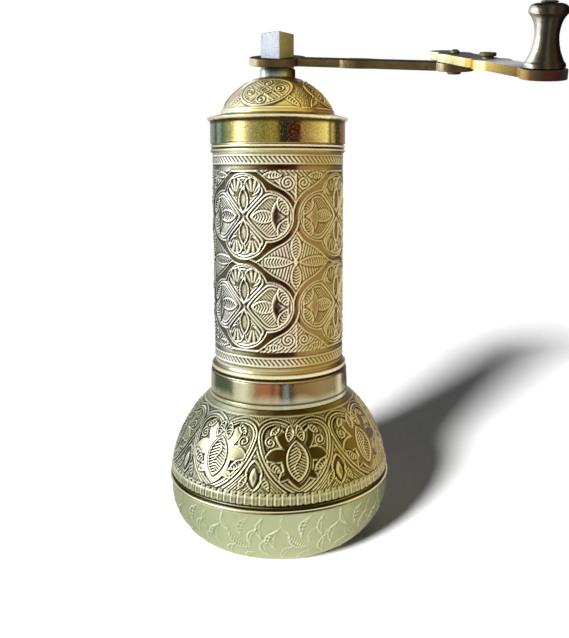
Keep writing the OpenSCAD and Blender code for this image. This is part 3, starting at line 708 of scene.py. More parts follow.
def lobe(r, a, b, radius, stipple=0.6):
    """A small outlined lobe with strokes that fan out inside it."""
    d = np.hypot(a, b) - radius
    r.lay(d, -0.06, stipple=stipple)
    r.height += 0.07 * np.sin(np.arctan2(b, a + radius * 1.1) * 17) * np.clip(-d / 0.3, 0, 1)
    r.line(d, 0.22, 0.26)
    r.line(d - 0.4, 0.18, -0.12)


def tube_relief(azimuth, radius, z, depth):
    """Four columns of two quatrefoil medallions held in woven straps, with star flowers between them."""
    half, tall, strap = TUBE_R * math.pi / 4, 14.75, 2.0

    def band(x, y):
        outer = quatrefoil(x, y, 3.4) - strap
        return np.maximum(-quatrefoil(x, y), outer), outer

    round_x, star_y = TUBE_R * (azimuth - math.radians(TUBE_AT)), z - CHASED_MIDDLE
    x, gap_x = wrap(round_x, 2 * half), wrap(round_x - half, 2 * half)
    star_x, high = np.abs(x) - half, np.abs(star_y)
    y, up = high - tall, np.where(z > CHASED_MIDDLE, 1.0, -1.0)
    field = high < 29.6
    r = Relief(x, depth)
    own, own_out = band(x, y)
    beside, beside_out = band(np.abs(x) - 2 * half, y)
    below, below_out = band(x, y + 2 * tall)
    straps = np.minimum.reduce([own, beside, below])

    # Hatched ground between the medallions
    r.lay(np.where(field, -1.0, 1.0), -0.08)
    outside = np.clip(np.minimum.reduce([own_out, beside_out, below_out]) / 0.3, 0, 1) * field
    r.height += 0.11 * strokes(np.abs(star_x) * 0.95 - high * 0.25, 0.95) * outside * (high < 12)
    r.height += 0.12 * strokes(gap_x * up * 0.7 + z * 0.75, 1.0) * outside * (high >= 12)

    # Star flower
    for a, b, length in ((np.abs(star_x) - 7.3, star_y, 6.2), (high - 4.8, star_x, 4.1)):
        r.lay(leaf_shape(a, b, length + 1.0, 2.2), -0.16)
        leaf(r, a, b, length, 1.6, "hatched", 0.3)
    r.lay(np.hypot(star_x, star_y) - 0.8, 0.2)

    # Paired scrolls and small leaves over and under the star
    for side, size in ((-1, 2.7), (1, 2.2)):
        spiral(r, gap_x - side * 2.75, y - 10.9, size, 1.05, side * up, 0.2)
        leaf(r, np.abs(gap_x) - 7.6, y - 13.3, 2.8, 0.9, "hatched", 0.16)
    r.line(gap_x, 0.28, 0.3, ((y > 4.6) & (y < 13.6)) * field)

    # Smooth straps with raised edges, each over one neighbour and under the next
    r.lay(straps, 0.0, plain=1.0, soft=0.22)
    r.line(straps, 0.16, 0.26, field)
    r.line(straps - 0.4, 0.2, -0.2, field)
    right, lower = x > 0, up < 0
    above, left = y * up > 0, x < 0
    for over, under, where in ((beside_out, own, right == above), (own_out, beside, right != above),
                               (own_out, below, left != lower), (below_out, own, left == lower)):
        r.line(over, 0.16, 0.26, (under < 0) * where * field)

    # Quatrefoil
    inside = np.clip((-quatrefoil(x, y) - 0.3) / 0.3, 0, 1) * (own_out < 0)
    r.stipple = np.maximum(r.stipple, inside * 0.6)
    r.height += 0.08 * inside
    for turn, reach, size in ((0, 8.6, 7.4), (180, 8.6, 7.4), (90, 5.9, 7.3), (270, 5.6, 7.3)):
        a, b = turned(x, y * up, turn)
        petal(r, a, b, reach, size)
        if turn in (0, 180):
            leaf(r, a - 7.1, b, 4.0, 1.9, "hatched", 0.26)
            crescent = 1.5 * np.sqrt(np.clip(1 - (np.abs(b) / 5.4) ** 2, 0, 1))
            body = np.abs(a - 11.0 - 0.035 * b * b) - crescent
            tip = np.maximum(np.abs(b) * 1.6 + a - 14.2, 11.6 - a)
            whole = np.minimum(np.where(np.abs(b) > 5.4, 1.0, body), tip)
            r.lay(np.where(a > 5, whole, 1.0), 0.1, plain=0.9)
            for side in (-1, 1):
                leaf(r, *turned(a - 13.4, b - side * 3.4, side * 120), 3.0, 1.4, "hatched", 0.24)
        else:
            far = reach + size - 3.5
            for side in (-1, 1):
                lobe(r, a - far, b - side * 3.1, 2.8)
                eye = np.maximum(np.hypot(a - far + 1.7, b - side * 2.4) - 1.6,
                                 1.5 - np.hypot(a - far + 0.2, b - side * 3.1))
                r.lay(eye, -0.1, plain=0.9)
            leaf(r, a - 5.2, b, 3.9, 1.7, "dotted", 0.26)

    # Border lines and rope bands
    # Painted highlight: about 38 degrees left of the front the plain border takes the paler ground tone
    pale = np.exp(-(wrap(azimuth + 0.66, math.tau) / 0.34) ** 2)
    r.lay(29.5 - high, 0.0, plain=1.0 - 0.7 * pale)
    r.lay(31.6 - high, 0.0)
    for edge in (29.35, 31.75, 34.4):
        r.line(high - edge, 0.2, 0.2)
    lay = math.tau * TUBE_R / ROPE_STROKES
    rope = np.abs(np.sin(math.pi * (TUBE_R * azimuth * up + 0.9 * high) / lay))
    r.height += (rope ** 0.7 * 0.34 - 0.24) * np.clip(np.minimum(high - 31.95, 34.2 - high) / 0.25, 0, 1)

    # The ornament fades out at both ends
    height, marks = r.marks()
    keep = np.clip(np.minimum(z - 63.4, 135.9 - z) / 0.3, 0, 1)
    return height * keep, {key: value * keep for key, value in marks.items()}


def bulb_relief(azimuth, radius, z, depth):
    """Eight pointed heart medallions with palmettes, drops between them, and a ring of flutes at the foot."""
    s = BULB_CURVE * np.arcsin(np.clip((z - BULB_MIDDLE[1]) / BULB_CURVE, -1, 1))
    x = radius * wrap(azimuth - math.radians(HEART_AT), math.pi / 4)
    x2 = radius * wrap(azimuth - math.radians(HEART_AT + 22.5), math.pi / 4)
    y = s - 8.6
    ax = np.abs(x)
    r = Relief(x, depth)
    upper = (z > HEARTS_LOW) & (z < HEARTS_HIGH)
    r.lay(np.where(upper, -1.0, 1.0), -0.06)

    # Fine strokes on the ground, crossed in the corners over the hearts, and drops between them
    r.height += 0.14 * net(x2, s, 1.1) * (y > 12) * upper
    r.height += 0.09 * strokes(np.abs(x2) * 0.9 + s, 1.0) * (y <= 12) * upper
    leaf(r, y - 4.4, x2, 4.6, 2.6, "dotted", 0.22)
    leaf(r, y - 3.9, x2, 2.6, 1.0, "plain", 0.1)
    for side in (-1, 1):
        leaf(r, *turned(x2 - side * 3.6, y - 2.4, 90 + side * 30), 2.5, 0.8, "hatched", 0.14)
        spiral(r, x2 - side * 2.1, y - 11.4, 1.5, 0.95, side, 0.16)

    # Hearts
    sides = np.hypot(ax + 6.2, y - 15.6) - 18.0
    tops = np.hypot(ax - 5.8, y - 15.6) - 6.0
    d = np.where(y > 15.6, tops, sides)
    r.lay(d - 1.2, 0.0, plain=1.0)
    r.line(d - 1.25, 0.16, 0.2)
    r.line(d - 1.6, 0.2, -0.14)
    r.lay(d, 0.02)
    r.lay(d + 1.0, -0.1, stipple=1.0)
    r.height += 0.12 * net(x, y, 1.05) * np.clip(-d - 1.2, 0, 1)
    r.line(d, 0.24, 0.26)
    r.line(d - 0.45, 0.2, -0.12)
    r.line(d + 1.0, 0.2, 0.2)

    # Smooth palmette round a dotted leaf
    body = leaf_shape(y - 8.7, x, 8.4, 5.2)
    wings = [leaf_shape(*turned(ax - 3.9, y - 15.4, 66), 5.0, 2.0),
             leaf_shape(*turned(ax - 6.3, y - 10.7, -12), 4.0, 2.3),
             leaf_shape(*turned(ax - 3.9, y - 5.0, -40), 3.2, 1.5)]
    whole = np.minimum.reduce([body, *wings])
    r.lay(whole, 0.04, plain=1.0, soft=0.24)
    r.line(whole, 0.2, 0.14)
    r.line(whole - 0.4, 0.18, -0.1)
    for side in (-1, 1):
        leaf(r, *turned(x - side * 1.7, y - 17.7, 90 + side * 14), 2.6, 1.1, "hatched", 0.2)
        spiral(r, x - side * 8.1, y - 14.8, 1.9, 1.1, side, 0.2)
        leaf(r, *turned(x - side * 7.7, y - 7.2, 90 - side * 52), 2.6, 1.0, "hatched", 0.18)
        leaf(r, *turned(x - side * 6.3, y - 18.6, 90 + side * 46), 2.0, 0.8, "hatched", 0.18)
    leaf(r, y - 8.9, x, 6.0, 3.3, "hatched", 0.28)
    r.line(x - 1.1 * np.sin((y - 8.9) * 0.75), 0.24, 0.24, np.clip(5.0 - np.abs(y - 8.9), 0, 1))

    # Plain shoulder, and flutes at the foot
    r.lay(HEARTS_HIGH - z, 0.0, plain=0.9)
    r.line(z - 49.95, 0.22, 0.16)
    r.lay(np.where(z < HEARTS_LOW, -1.0, 1.0), 0.0)
    r.line(z - 29.25, 0.2, -0.12)
    phase = (azimuth * FLUTES / math.tau) % 1.0
    foot = 25.6 - 0.3 * np.sin(math.pi * phase)
    tongue = np.clip(np.minimum(z - foot, 28.1 - z) / 0.25, 0, 1)
    lit, dark = np.exp(-((phase - 0.2) / 0.12) ** 2), np.exp(-(phase / 0.1) ** 2)
    r.height += (0.12 + 0.16 * lit - 0.2 * dark) * tongue
    r.lay(np.hypot(BULB_CURVE * 0.96 * wrap(azimuth, math.tau / FLUTES), z - 28.55) - 0.34, -0.25)
    return r.marks(step=0.3)


def cup_relief(azimuth, radius, z, depth):
    """Low sprays of leaves and curved stems, nearly worn away."""
    # Shift round the cup, height, tilt, half length and half width of each leaf of a spray
    leaves = ((0.0, 14.2, 78, 3.6, 1.7), (7.4, 12.2, 140, 4.2, 1.4), (12.6, 15.0, 66, 2.9, 1.1),
              (4.0, 8.2, 58, 3.2, 1.3), (16.8, 10.4, 100, 3.4, 1.6), (10.4, 6.4, 40, 2.6, 1.1),
              (3.4, 18.6, 118, 3.0, 1.0), (9.6, 18.2, 60, 2.9, 1.3), (15.4, 17.6, 96, 3.2, 1.2),
              (18.6, 14.6, 50, 2.6, 1.0))
    around = CUP_R * azimuth
    r = Relief(around, depth)
    pitch = math.tau * CUP_R / SPRAYS
    for k, (shift, high, tilt, length, width) in enumerate(leaves):
        x = wrap(around - shift, pitch)
        a, b = turned(x, z - high, tilt + 8 * math.sin(3.0 * k))
        d = leaf_shape(a, b + 0.06 * a * a, length, width)
        worn = np.clip(0.85 + 0.4 * np.sin(azimuth * 5 + 1.7 * k), 0.4, 1)
        r.line(d, 0.2, 0.17, worn * (b > -width * 0.4))
        veins = strokes(a * 0.95 + 0.35 * b, 0.85 + 0.06 * k)
        r.height += 0.09 * veins * np.clip(-d / 0.4, 0, 1) * worn * (k % 2)
        r.line(b + 0.06 * a * a, 0.18, 0.11, np.clip(length + 1.6 - np.abs(a), 0, 1) * worn)
    return r.marks(ridge=11.0, cavity=7.0, slope=1.4)


def dome_relief(azimuth, radius, z, depth):
    """Four round medallions with knotted straps, and dotted leaves between them."""
    foot = DOME_CURVE * math.asin((DOME_FOOT_Z - DOME_MIDDLE_Z) / DOME_CURVE)
    s = DOME_CURVE * np.arcsin(np.clip((z - DOME_MIDDLE_Z) / DOME_CURVE, -1, 1)) - foot
    x = radius * wrap(azimuth - math.radians(DOME_AT), math.pi / 2)
    x2 = radius * wrap(azimuth - math.radians(DOME_LEAF_AT), math.pi / 2)
    y = s - 8.6
    r = Relief(x, depth)
    field = (s > 1.6) & (s < 16.8)
    r.lay(np.where(field, -1.0, 1.0), -0.03, stipple=0.15)

    # Leaves between the medallions, with dots that fan out over them
    fan, ray = np.hypot(x2, s - 1.0), np.arctan2(x2, s - 1.0)
    aslant = ray * (fan + 1.5)
    dots = np.cos(5.8 * fan + 1.4 * np.sin(3.1 * aslant)) * np.cos(6.1 * aslant + 1.7 * np.sin(2.3 * fan))
    r.height += 0.16 * np.clip(dots * 1.8 - 0.5, 0, 1) * (fan < 9.0) * (np.abs(ray) < 0.62)
    for side in (-1, 1):
        leaf(r, *turned(x2 - side * 4.6, s - 4.6, 90 - side * 42), 3.4, 1.0, "hatched", 0.14)

    # Medallions, which lean a little, with crossed straps and scrolls
    a, b = turned(x, y, 9.0)
    d = np.hypot(a / 8.9, b / 6.3) * 7.4 - 7.4
    r.lay(d - 0.4, 0.0)
    r.lay(d, -0.06, stipple=0.35)
    r.line(d, 0.3, 0.3)
    r.line(d + 0.9, 0.22, 0.12)
    inside = np.clip((-d - 0.7) / 0.3, 0, 1)
    for tilt, shift in ((38, 1.5), (38, -1.5), (-40, 1.6), (-40, -1.6)):
        b = turned(x, y, tilt)[1]
        for edge in (-0.5, 0.5):
            r.line(b - shift - edge, 0.2, 0.2, inside)
    for cx, cy, hand in ((-5.0, -0.7, 1), (5.0, 0.9, -1), (0.5, 4.0, 1), (-0.4, -4.0, -1)):
        spiral(r, x - cx, y - cy, 2.0, 1.15, hand, 0.2)

    # Border lines
    r.line(s - 1.5, 0.2, 0.12)
    r.line(s - 16.9, 0.2, 0.14)
    return r.marks()


# --- Settings ----------------------------------------------


class MillFinish(bpy.types.PropertyGroup):
    """Relief and colours of the mill."""
    relief: bpy.props.FloatProperty(
        name="Relief", description="Depth of the chased ornament against its usual depth", default=1.0,
        min=0.2, max=1.5)
    patina: bpy.props.FloatVectorProperty(
        name="Patina", description="Colour of the dirt on the bronze of the crank", subtype="COLOR", size=3,
        min=0, max=1, default=linear("241b10"))


class MillStudio(bpy.types.PropertyGroup):
    """Light and floor of the studio."""
    key: bpy.props.FloatProperty(
        name="Key light", description="Strength of the far lamp in front on the left", default=9.2, min=0)
    fill: bpy.props.FloatProperty(
        name="Side light", description="Power of the large lamp on the left", default=2.0, min=0, unit="POWER")
    ambient: bpy.props.FloatProperty(
        name="Ambient", description="Strength of the light from all round", default=0.08, min=0, max=2)
    floor_size: bpy.props.FloatProperty(
        name="Floor", description="Width of the floor", default=6.0, min=1, unit="LENGTH")


# --- Pieces ------------------------------------------------


class MILL_OT_cup(bpy.types.Operator):
    """Builds the catch cup with its worn leaf sprays"""
    bl_idname = "mill.cup"
    bl_label = "Catch cup"

    def execute(self, context):
        middle = (CUP_R - CUP_CURVE, CUP_CURVE)
        top = SEAM - SEAM_GAP / 2
        wall = along([*arc(middle, CUP_CURVE, -90, 0, 90), (CUP_R, top - 0.3)], 0.35)
        back = [*off(CUP_R, top, (-0.12, -0.06), (-0.35, 0)), *off(CUP_R - SHEET, top, (0.2, 0), (0, -0.2)),
                *arc(middle, CUP_CURVE - SHEET, 0, -90, 40), (AXIS, SHEET), (AXIS, 0.0), (middle[0] - 0.6, 0.0)]
        paint = chased("cup_brass", CUP_TONES, rough=0.4, stain=0.12)
        cup = lathe("catch_cup_body", wall, back, 700, paint, cup_relief, context.scene.mill_finish.relief)
        place(cup, "catch_cup", "cup_brass", "catch_cup")
        return {"FINISHED"}


class MILL_OT_bulb(bpy.types.Operator):
    """Builds the bulb with its heart medallions and flutes, and the rolled edge under it"""
    bl_idname = "mill.bulb"
    bl_label = "Bulb"

    def execute(self, context):
        foot = SEAM + SEAM_GAP / 2
        bead = arc((38.45, foot + 0.42), 0.42, -90, 90, 12)
        neck = [(38.1, foot + 0.95), (37.95, foot + 1.3), (38.0, foot + 1.8), (38.3, foot + 2.15)]
        paint = chased("bulb_brass", BULB_TONES, rough=0.28, stain=0.25, foot=(28.4, 29.2, "b0b48e"))
        edge_paint = polished("edge_brass", EDGE_TONES, linear("2a220e"), rough=0.2, stain=0.2, wander=10.0)
        edge = lathe("bulb_edge", along(bead + neck, 0.2),
                     [(37.4, foot + 2.25), (36.95, foot + 2.2), (36.95, foot)], 360, edge_paint)
        place(edge, "mill_body", "bulb_brass", "bulb_edge_ring")
        low, high = (math.degrees(math.asin((z - BULB_MIDDLE[1]) / BULB_CURVE)) for z in (BULB_FOOT, BULB_TOP))
        wall = along([(CUP_R, foot + 2.3), *arc(BULB_MIDDLE, BULB_CURVE, low, high, 110)], 0.4)
        back = [(wall[-1][0] - 0.25, BULB_TOP + 0.01), (COLLAR_R - 1.0, BULB_TOP),
                *off(SOCKET_R, BULB_TOP, (0, -0.02), (0, -SHEET)),
                *arc(BULB_MIDDLE, BULB_CURVE - SHEET, high - 2.5, low, 40)]
        bulb = lathe("bulb_shell", wall, back, 860, paint, bulb_relief, context.scene.mill_finish.relief)
        place(bulb, "mill_body", "bulb_brass", "upper_bulb")
        return {"FINISHED"}


class MILL_OT_collar(bpy.types.Operator):
    """Builds the polished neck collar and the two beads round the tube"""
    bl_idname = "mill.collar"
    bl_label = "Collar and beads"

    def execute(self, context):
        paint = polished("collar_brass", COLLAR_TONES, linear("2e2610"), rough=0.14, stain=0.15, wander=5.0,
                         sill=(53.3, 56.6, "c8c8a2"))
        wall = [*off(COLLAR_R, BULB_TOP, (-0.15, 0.02), (0, 0.2), (-0.02, 0.9), (-0.28, 1.6), (-0.32, 4.0)),
                *off(LIP_R, COLLAR_TOP, (0.02, -1.0), (0.05, -0.45), (0, -0.15), (-0.15, 0))]
        back = [(SOCKET_R, COLLAR_TOP), (SOCKET_R, BULB_TOP + 0.02)]
        place(lathe("collar", along(wall, 0.4), back, 256, paint), "mill_body", "collar_brass", "neck_collar")
        paint = polished("bead_brass", BEAD_TONES, linear("2a1e0a"), rough=0.18, stain=0.2, wander=9.0)

        def bead(name, node, wall, low, tall):
            ring = lathe(name, along(wall, 0.25), [(SOCKET_R, low + tall), (SOCKET_R, low)], 256, paint,
                         smooth_angle=60)
            place(ring, "mill_body", "collar_brass", node)

        out, low, tall = FOOT_BEAD
        wall = [*off(out, low, (-0.35, 0), (0, 0.12), (0, 0.4), (-0.3, 0.7), (-0.45, 0.95)),
                *arc((out - 1.0, low + 1.9), 0.85, -50, 55, 10),
                *off(out, low, (-0.85, 2.85), (-1.1, 3.35), (-1.2, tall))]
        bead("foot_bead", "tube_foot_bead", wall, low, tall)
        out, low, tall = STOP_BEAD
        wall = [(out - 0.4, low), *arc((out - 0.65, low + 0.75), 0.65, -60, 60, 9), (out - 0.42, low + 1.5),
                *arc((out - 0.62, low + 2.15), 0.55, -60, 70, 9), (out - 0.45, low + tall)]
        bead("stop_bead", "lid_stop_bead", wall, low, tall)
        return {"FINISHED"}


class MILL_OT_tube(bpy.types.Operator):
    """Builds the hopper tube with its chased medallions"""
    bl_idname = "mill.tube"
    bl_label = "Hopper tube"

    def execute(self, context):
        wall = [*along([(TUBE_R, TUBE_FOOT), (TUBE_R, CHASED_LOW)], 2.0)[:-1],
                *along([(TUBE_R, CHASED_LOW), (TUBE_R, CHASED_HIGH)], 0.26),
                *along([(TUBE_R, CHASED_HIGH), (TUBE_R, TUBE_TOP - 0.1)], 2.0)[1:]]
        inner = TUBE_R - SHEET
        back = [(TUBE_R - 0.1, TUBE_TOP), (inner + 0.1, TUBE_TOP), (inner, TUBE_TOP - 0.1), (inner, 100.0),
                (inner, TUBE_FOOT)]
        paint = chased("tube_brass", TUBE_TONES, rough=0.28, stain=0.25)
        tube = lathe("tube_shell", wall, back, 560, paint, tube_relief, context.scene.mill_finish.relief)
        place(tube, "mill_body", "tube_brass", "hopper_tube")
        return {"FINISHED"}


class MILL_OT_lid(bpy.types.Operator):
    """Builds the lid's polished band and chased dome"""
    bl_idname = "mill.lid"
    bl_label = "Lid"

    def execute(self, context):
        paint = polished("band_brass", LID_TONES, linear("3a2e10"), rough=0.14, stain=0.2, wander=3.6,
                         grain=0.6)
        wall = [*off(BAND_R, LID_Z, (-0.25, 0), (0.02, 0.12), (0.08, 0.4), (0, 0.75), (-0.02, 1.2)),
                *off(BAND_R, RIM_Z, (-0.02, -0.4), (0.1, 0), (0.55, 0.3)),
                *arc((RIM_R - 0.35, RIM_Z + 0.85), 0.36, -60, 80, 8),
                *off(RIM_R, RIM_Z, (-1.2, 1.42), (-2.6, 1.85)),
                *off(DOME_FOOT_R, DOME_FOOT_Z, (0.3, -0.12), (-0.1, 0))]
        back = [*off(DOME_FOOT_R, DOME_FOOT_Z, (-2, 0), (-2, -LID_SHEET)), (BAND_IN, RIM_Z + 0.69),
                (BAND_IN, LID_Z + 0.05)]
        band = lathe("lid_side", along(wall, 0.4), back, 320, paint, smooth_angle=55)
        place(band, "lid", "lid_brass", "lid_band")
        middle = (0.0, DOME_FOOT_Z - math.sqrt(DOME_CURVE ** 2 - DOME_FOOT_R ** 2))
        low = math.degrees(math.asin((DOME_FOOT_Z - middle[1]) / DOME_CURVE))
        high = math.degrees(math.acos(DOME_HOLE / DOME_CURVE))
        wall = arc(middle, DOME_CURVE, low, high - 0.4, 84)
        inner = DOME_CURVE - LID_SHEET
        back = [*off(DOME_HOLE, wall[-1][1], (0.02, -0.02), (0, -0.3)),
                *arc(middle, inner, math.degrees(math.acos(DOME_HOLE / inner)), low, 30)]
        paint = chased("dome_brass", DOME_TONES, rough=0.26, stain=0.2)
        dome = lathe("lid_top", wall, back, 500, paint, dome_relief, context.scene.mill_finish.relief)
        place(dome, "lid", "lid_brass", "lid_dome")
        return {"FINISHED"}


class MILL_OT_shaft(bpy.types.Operator):
    """Builds the shaft with its squared head"""
    bl_idname = "mill.shaft"
    bl_label = "Shaft"

    def execute(self, context):
        # Painted reflections and painted shade by the azimuth that a face looks to
        steel = by_facing(SHAFT_TONES, ("8c8c84", "c4c4bc"), "77705c", wander=14.0)
        paint = aged("shaft_steel", steel, linear("5a564c"), rough=0.28, pits=0.25, grain=4.0, metal=1.0)
        # Between 64 and 80 mm the turned piece narrows, so that it fits inside the burr's square
        wall = [(2.94, SHAFT_FOOT), (2.94, 64.0), (2.7, 64.1), (2.7, 79.9), (4.0, 80.1), (4.0, 110.0),
                *off(SHAFT_R, 110.0, (-0.2, 0), (0, 0.2)),
                *off(SHAFT_R, SHOULDER, (0, -0.35), (-0.1, -0.1), (-0.35, 0))]
        shaft = lathe("shaft_round", wall, [(AXIS, SHOULDER), (AXIS, SHAFT_FOOT)], 96, paint)
        place(shaft, "shaft", "shaft_steel", "drive_shaft")
        shape = bmesh.new()
        tall, middle = HEAD_TOP - SHOULDER + HEAD_SUNK, (SHOULDER - HEAD_SUNK + HEAD_TOP) / 2
        bmesh.ops.create_cube(shape, size=1.0, matrix=Matrix.Rotation(math.radians(HEAD_TURN), 4, "Z")
                              @ Matrix.Translation((0, 0, middle * MM))
                              @ Matrix.Diagonal((HEAD_W * MM, HEAD_W * MM, tall * MM, 1)))
        bmesh.ops.bevel(shape, geom=list(shape.edges), offset=0.35 * MM, segments=3, profile=0.5,
                        affect="EDGES")
        # Painted highlight on the left face and painted shade on the right, by the azimuth that a face looks to
        head = by_facing(HEAD_TONES, ("9c9c94", "d4d4cc"), "77705c", wander=26.0)
        paint = aged("head_steel", head, linear("4a5468"), rough=0.5, pits=1.0, grain=1.6, metal=1.0, speck=0.4)
        place(solid("shaft_square", shape, paint), "shaft", "shaft_steel", "drive_shaft")
        return {"FINISHED"}


class MILL_OT_crank(bpy.types.Operator):
    """Builds the two links of the crank, the rivet between them and the small headed stud"""
    bl_idname = "mill.crank"
    bl_label = "Crank"

    def execute(self, context):
        patina = tuple(context.scene.mill_finish.patina)
        fold = crank_frame(OUTER_TURN)

        def inner_half(s):
            return max(disc_half(s, 0, HUB_R), INNER_W / 2 if 0 <= s <= INNER_LEN else 0,
                       leaf_half(s, *INNER_SWELL), disc_half(s, INNER_LEN, INNER_END_R))

        def outer_half(s):
            return max(disc_half(s, 0, FOLD_R), disc_half(s, LOBE_AT, LOBE_R), leaf_half(s, *OUTER_SWELL),
                       PLATE_HALF if 0 <= s <= PLATE_LEN else 0, disc_half(s, OUTER_LEN, OUTER_END_R),
                       OUTER_W / 2 if PLATE_LEN <= s <= OUTER_LEN else 0)

        def outer_colour(g, point, cloud):
            # Painted reflections along the side by distance from the fold, and by facing on the end plate;
            # painted shade on faces turned away, and painted reflections on the top
            s = g.along(point, fold) + cloud * 4.0
            facing, rise = g.facing()
            tip, away = s.band(44.0, 46.5), facing.band(60.0, 100.0)
            side, end = g.ramp(s, OUTER_SIDE_TONES, -14.0, 58.0), g.ramp(facing + cloud * 20.0, PLATE_TONES)
            side = g.blend(away * (1.0 - tip), g.blend(tip, side, end), linear("4a3a24"))
            return g.blend((rise + cloud * 0.1).band(0.6, 0.85), side, g.ramp(s, OUTER_TOP_TONES, -14.0, 58.0))

        half, turn = HUB_HOLE / 2, math.radians(HEAD_TURN - INNER_TURN)
        hole = [(x * math.cos(turn) - y * math.sin(turn), x * math.sin(turn) + y * math.cos(turn))
                for x, y in ((half, half), (-half, half), (-half, -half), (half, -half))]
        # Painted highlight on faces to the left, painted shade elsewhere, and dark tops: painted reflections by
        # facing
        bronze = by_facing(INNER_LINK_TONES, ("0e0b07", "2a2217"), "241c10")
        paint = aged("inner_link_bronze", bronze, patina, rough=0.34)
        inner = plate("crank_inner", link_outline(inner_half, -HUB_R, INNER_LEN + INNER_END_R), [hole],
                      -LINK_T / 2, LINK_T / 2, paint)
        settle(inner, crank_frame() @ Matrix.Rotation(math.radians(INNER_TURN), 4, "Z"))
        place(inner, "crank", "inner_link_bronze", "inner_link")

        paint = aged("outer_link_bronze", outer_colour, patina, rough=0.4, pits=0.5, metal=0.55, speck=0.9)
        outer = plate("crank_outer", link_outline(outer_half, LOBE_AT - LOBE_R, OUTER_LEN + OUTER_END_R), [],
                      LINK_LOW, LINK_HIGH, paint)
        place(on_outer_link(outer), "outer_arm", "outer_link_bronze", "outer_link")

        # Painted highlights and painted shade by the azimuth that a face looks to
        bronze = by_facing(RIVET_TONES, ("24201a", "544e42"), "4a3c2c")
        paint = aged("rivet_bronze", bronze, patina, rough=0.32, pits=0.3, grain=2.0)
        wall = off(0, LINK_HIGH, (1.05, 0), (1.45, 0.1), (1.42, 0.5), (1.1, 0.9), (0.55, 1.13), (AXIS, 1.18))
        back = [(AXIS, -2.4), (1.9, -2.4), (2.15, -2.2), (2.15, -1.55), (2.0, -1.4), (1.05, -1.38)]
        rivet = on_outer_link(lathe("fold_rivet_heads", wall, back, 40, paint))
        place(rivet, "crank", "rivet_bronze", "fold_rivet")
        wall = [(1.0, LINK_LOW + 0.05), *off(0, LINK_HIGH, (1.0, 0), (1.75, 0.02), (1.7, 0.65), (2.3, 0.78),
                                             (2.45, 0.95), (2.45, 1.5), (2.25, 1.72))]
        back = [(AXIS, LINK_HIGH + 1.75), (AXIS, LINK_LOW + 0.05)]
        lug = on_outer_link(lathe("lug", wall, back, 40, paint), LUG_AT)
        place(lug, "outer_arm", "rivet_bronze", "fold_lug")
        return {"FINISHED"}


class MILL_OT_knob(bpy.types.Operator):
    """Builds the turned knob and the button of its spindle"""
    bl_idname = "mill.knob"
    bl_label = "Knob"

    def execute(self, context):
        # Painted highlight on the left and painted shade on the right, by the azimuth that a face looks to
        sides = by_facing(KNOB_TONES, ("14120e", "3a362c"), "2a2418", wander=16.0)

        def bronze(g, point, cloud):
            height = g.parts(point)[2]
            # Painted shade on the knob's head, from 168 to 171 mm up
            return g.blend(height.band(168.0, 171.0) * 0.75, sides(g, point, cloud), linear("38392c"))

        patina = tuple(context.scene.mill_finish.patina)
        paint = aged("knob_bronze", bronze, patina, rough=0.24, pits=0.2, grain=4.0)
        # Height over the link's face, and radius
        shape = [(0.15, 4.9), (0.3, 5.2), (0.9, 5.25), (1.35, 5.1), (1.7, 4.75), (2.3, 4.45), (3.2, 4.05),
                 (4.3, 3.62), (5.6, 3.3), (6.9, 3.08), (8.0, 3.0), (9.2, 3.06), (10.5, 3.3), (11.4, 3.6),
                 (12.2, 4.0), (12.8, 4.45), (13.2, 4.8), (13.6, 4.92), (14.2, 4.9), (14.7, 4.7), (15.15, 4.3),
                 (15.5, 3.6), (15.65, 3.0)]
        wall = []
        for (h0, r0), (h1, r1) in zip(shape, shape[1:]):
            wall += [(r0 + (r1 - r0) * k / 3, LINK_HIGH + h0 + (h1 - h0) * k / 3) for k in range(3)]
        wall += off(0, LINK_HIGH, (3.0, 15.65), (1.3, 15.65))
        knob = lathe("knob_body", wall, off(1.26, LINK_HIGH, (0, 15.6), (0, 0.15)), 96, paint, smooth_angle=45)
        place(on_outer_link(knob, OUTER_LEN), "knob", "knob_bronze", "knob")
        low = LINK_HIGH - LINK_T + 0.1
        wall = [(1.2, low),
                *off(0, LINK_HIGH, (1.2, 15.7), (2.05, 15.72), (2.15, 15.9), (1.95, 16.2), (1.3, 16.3))]
        spindle = lathe("spindle", wall, [(AXIS, LINK_HIGH + 16.32), (AXIS, low)], 40, paint)
        place(on_outer_link(spindle, OUTER_LEN), "outer_arm", "rivet_bronze", "knob_spindle")
        return {"FINISHED"}


class MILL_OT_works(bpy.types.Operator):
    """Gives the grinding works and the cup's sleeve their finishes"""
    bl_idname = "mill.works"
    bl_label = "Works inside"

    def execute(self, context):
        tones = ((-180, "b99c54"), (-60, "8a7038"), (60, "b0944c"), (150, "927840"))
        brass = polished("inner_brass", tones, linear("3a2c14"), rough=0.32, stain=0.4, wander=60.0)

        def cloudy(light, deep):
            return lambda g, point, cloud: g.ramp(cloud + 0.5, ((0.25, light), (0.75, deep)), 0.0, 1.0)

        burr, screw = (aged(name, cloudy(light, deep), linear(dark), rough=rough, pits=pits, grain=3.0)
                       for name, light, deep, dark, rough, pits in (
                           ("burr_steel", "6a6a6c", "3c3c3e", "1c1a18", 0.42, 0.5),
                           ("screw_steel", "a4a29c", "6e6c66", "3a342c", 0.34, 0.35)))
        paints = {"inner_brass": brass, "burr_steel": burr, "screw_steel": screw, "shaft_steel": screw}
        slots = {part["node"]: part["material_slot"] for part in frame["record"]["subparts"]}
        for node, piece in frame["nodes"].items():
            if slots[node] in paints and node != "drive_shaft":
                for k in range(len(piece.data.materials)):
                    piece.data.materials[k] = paints[slots[node]]
        return {"FINISHED"}


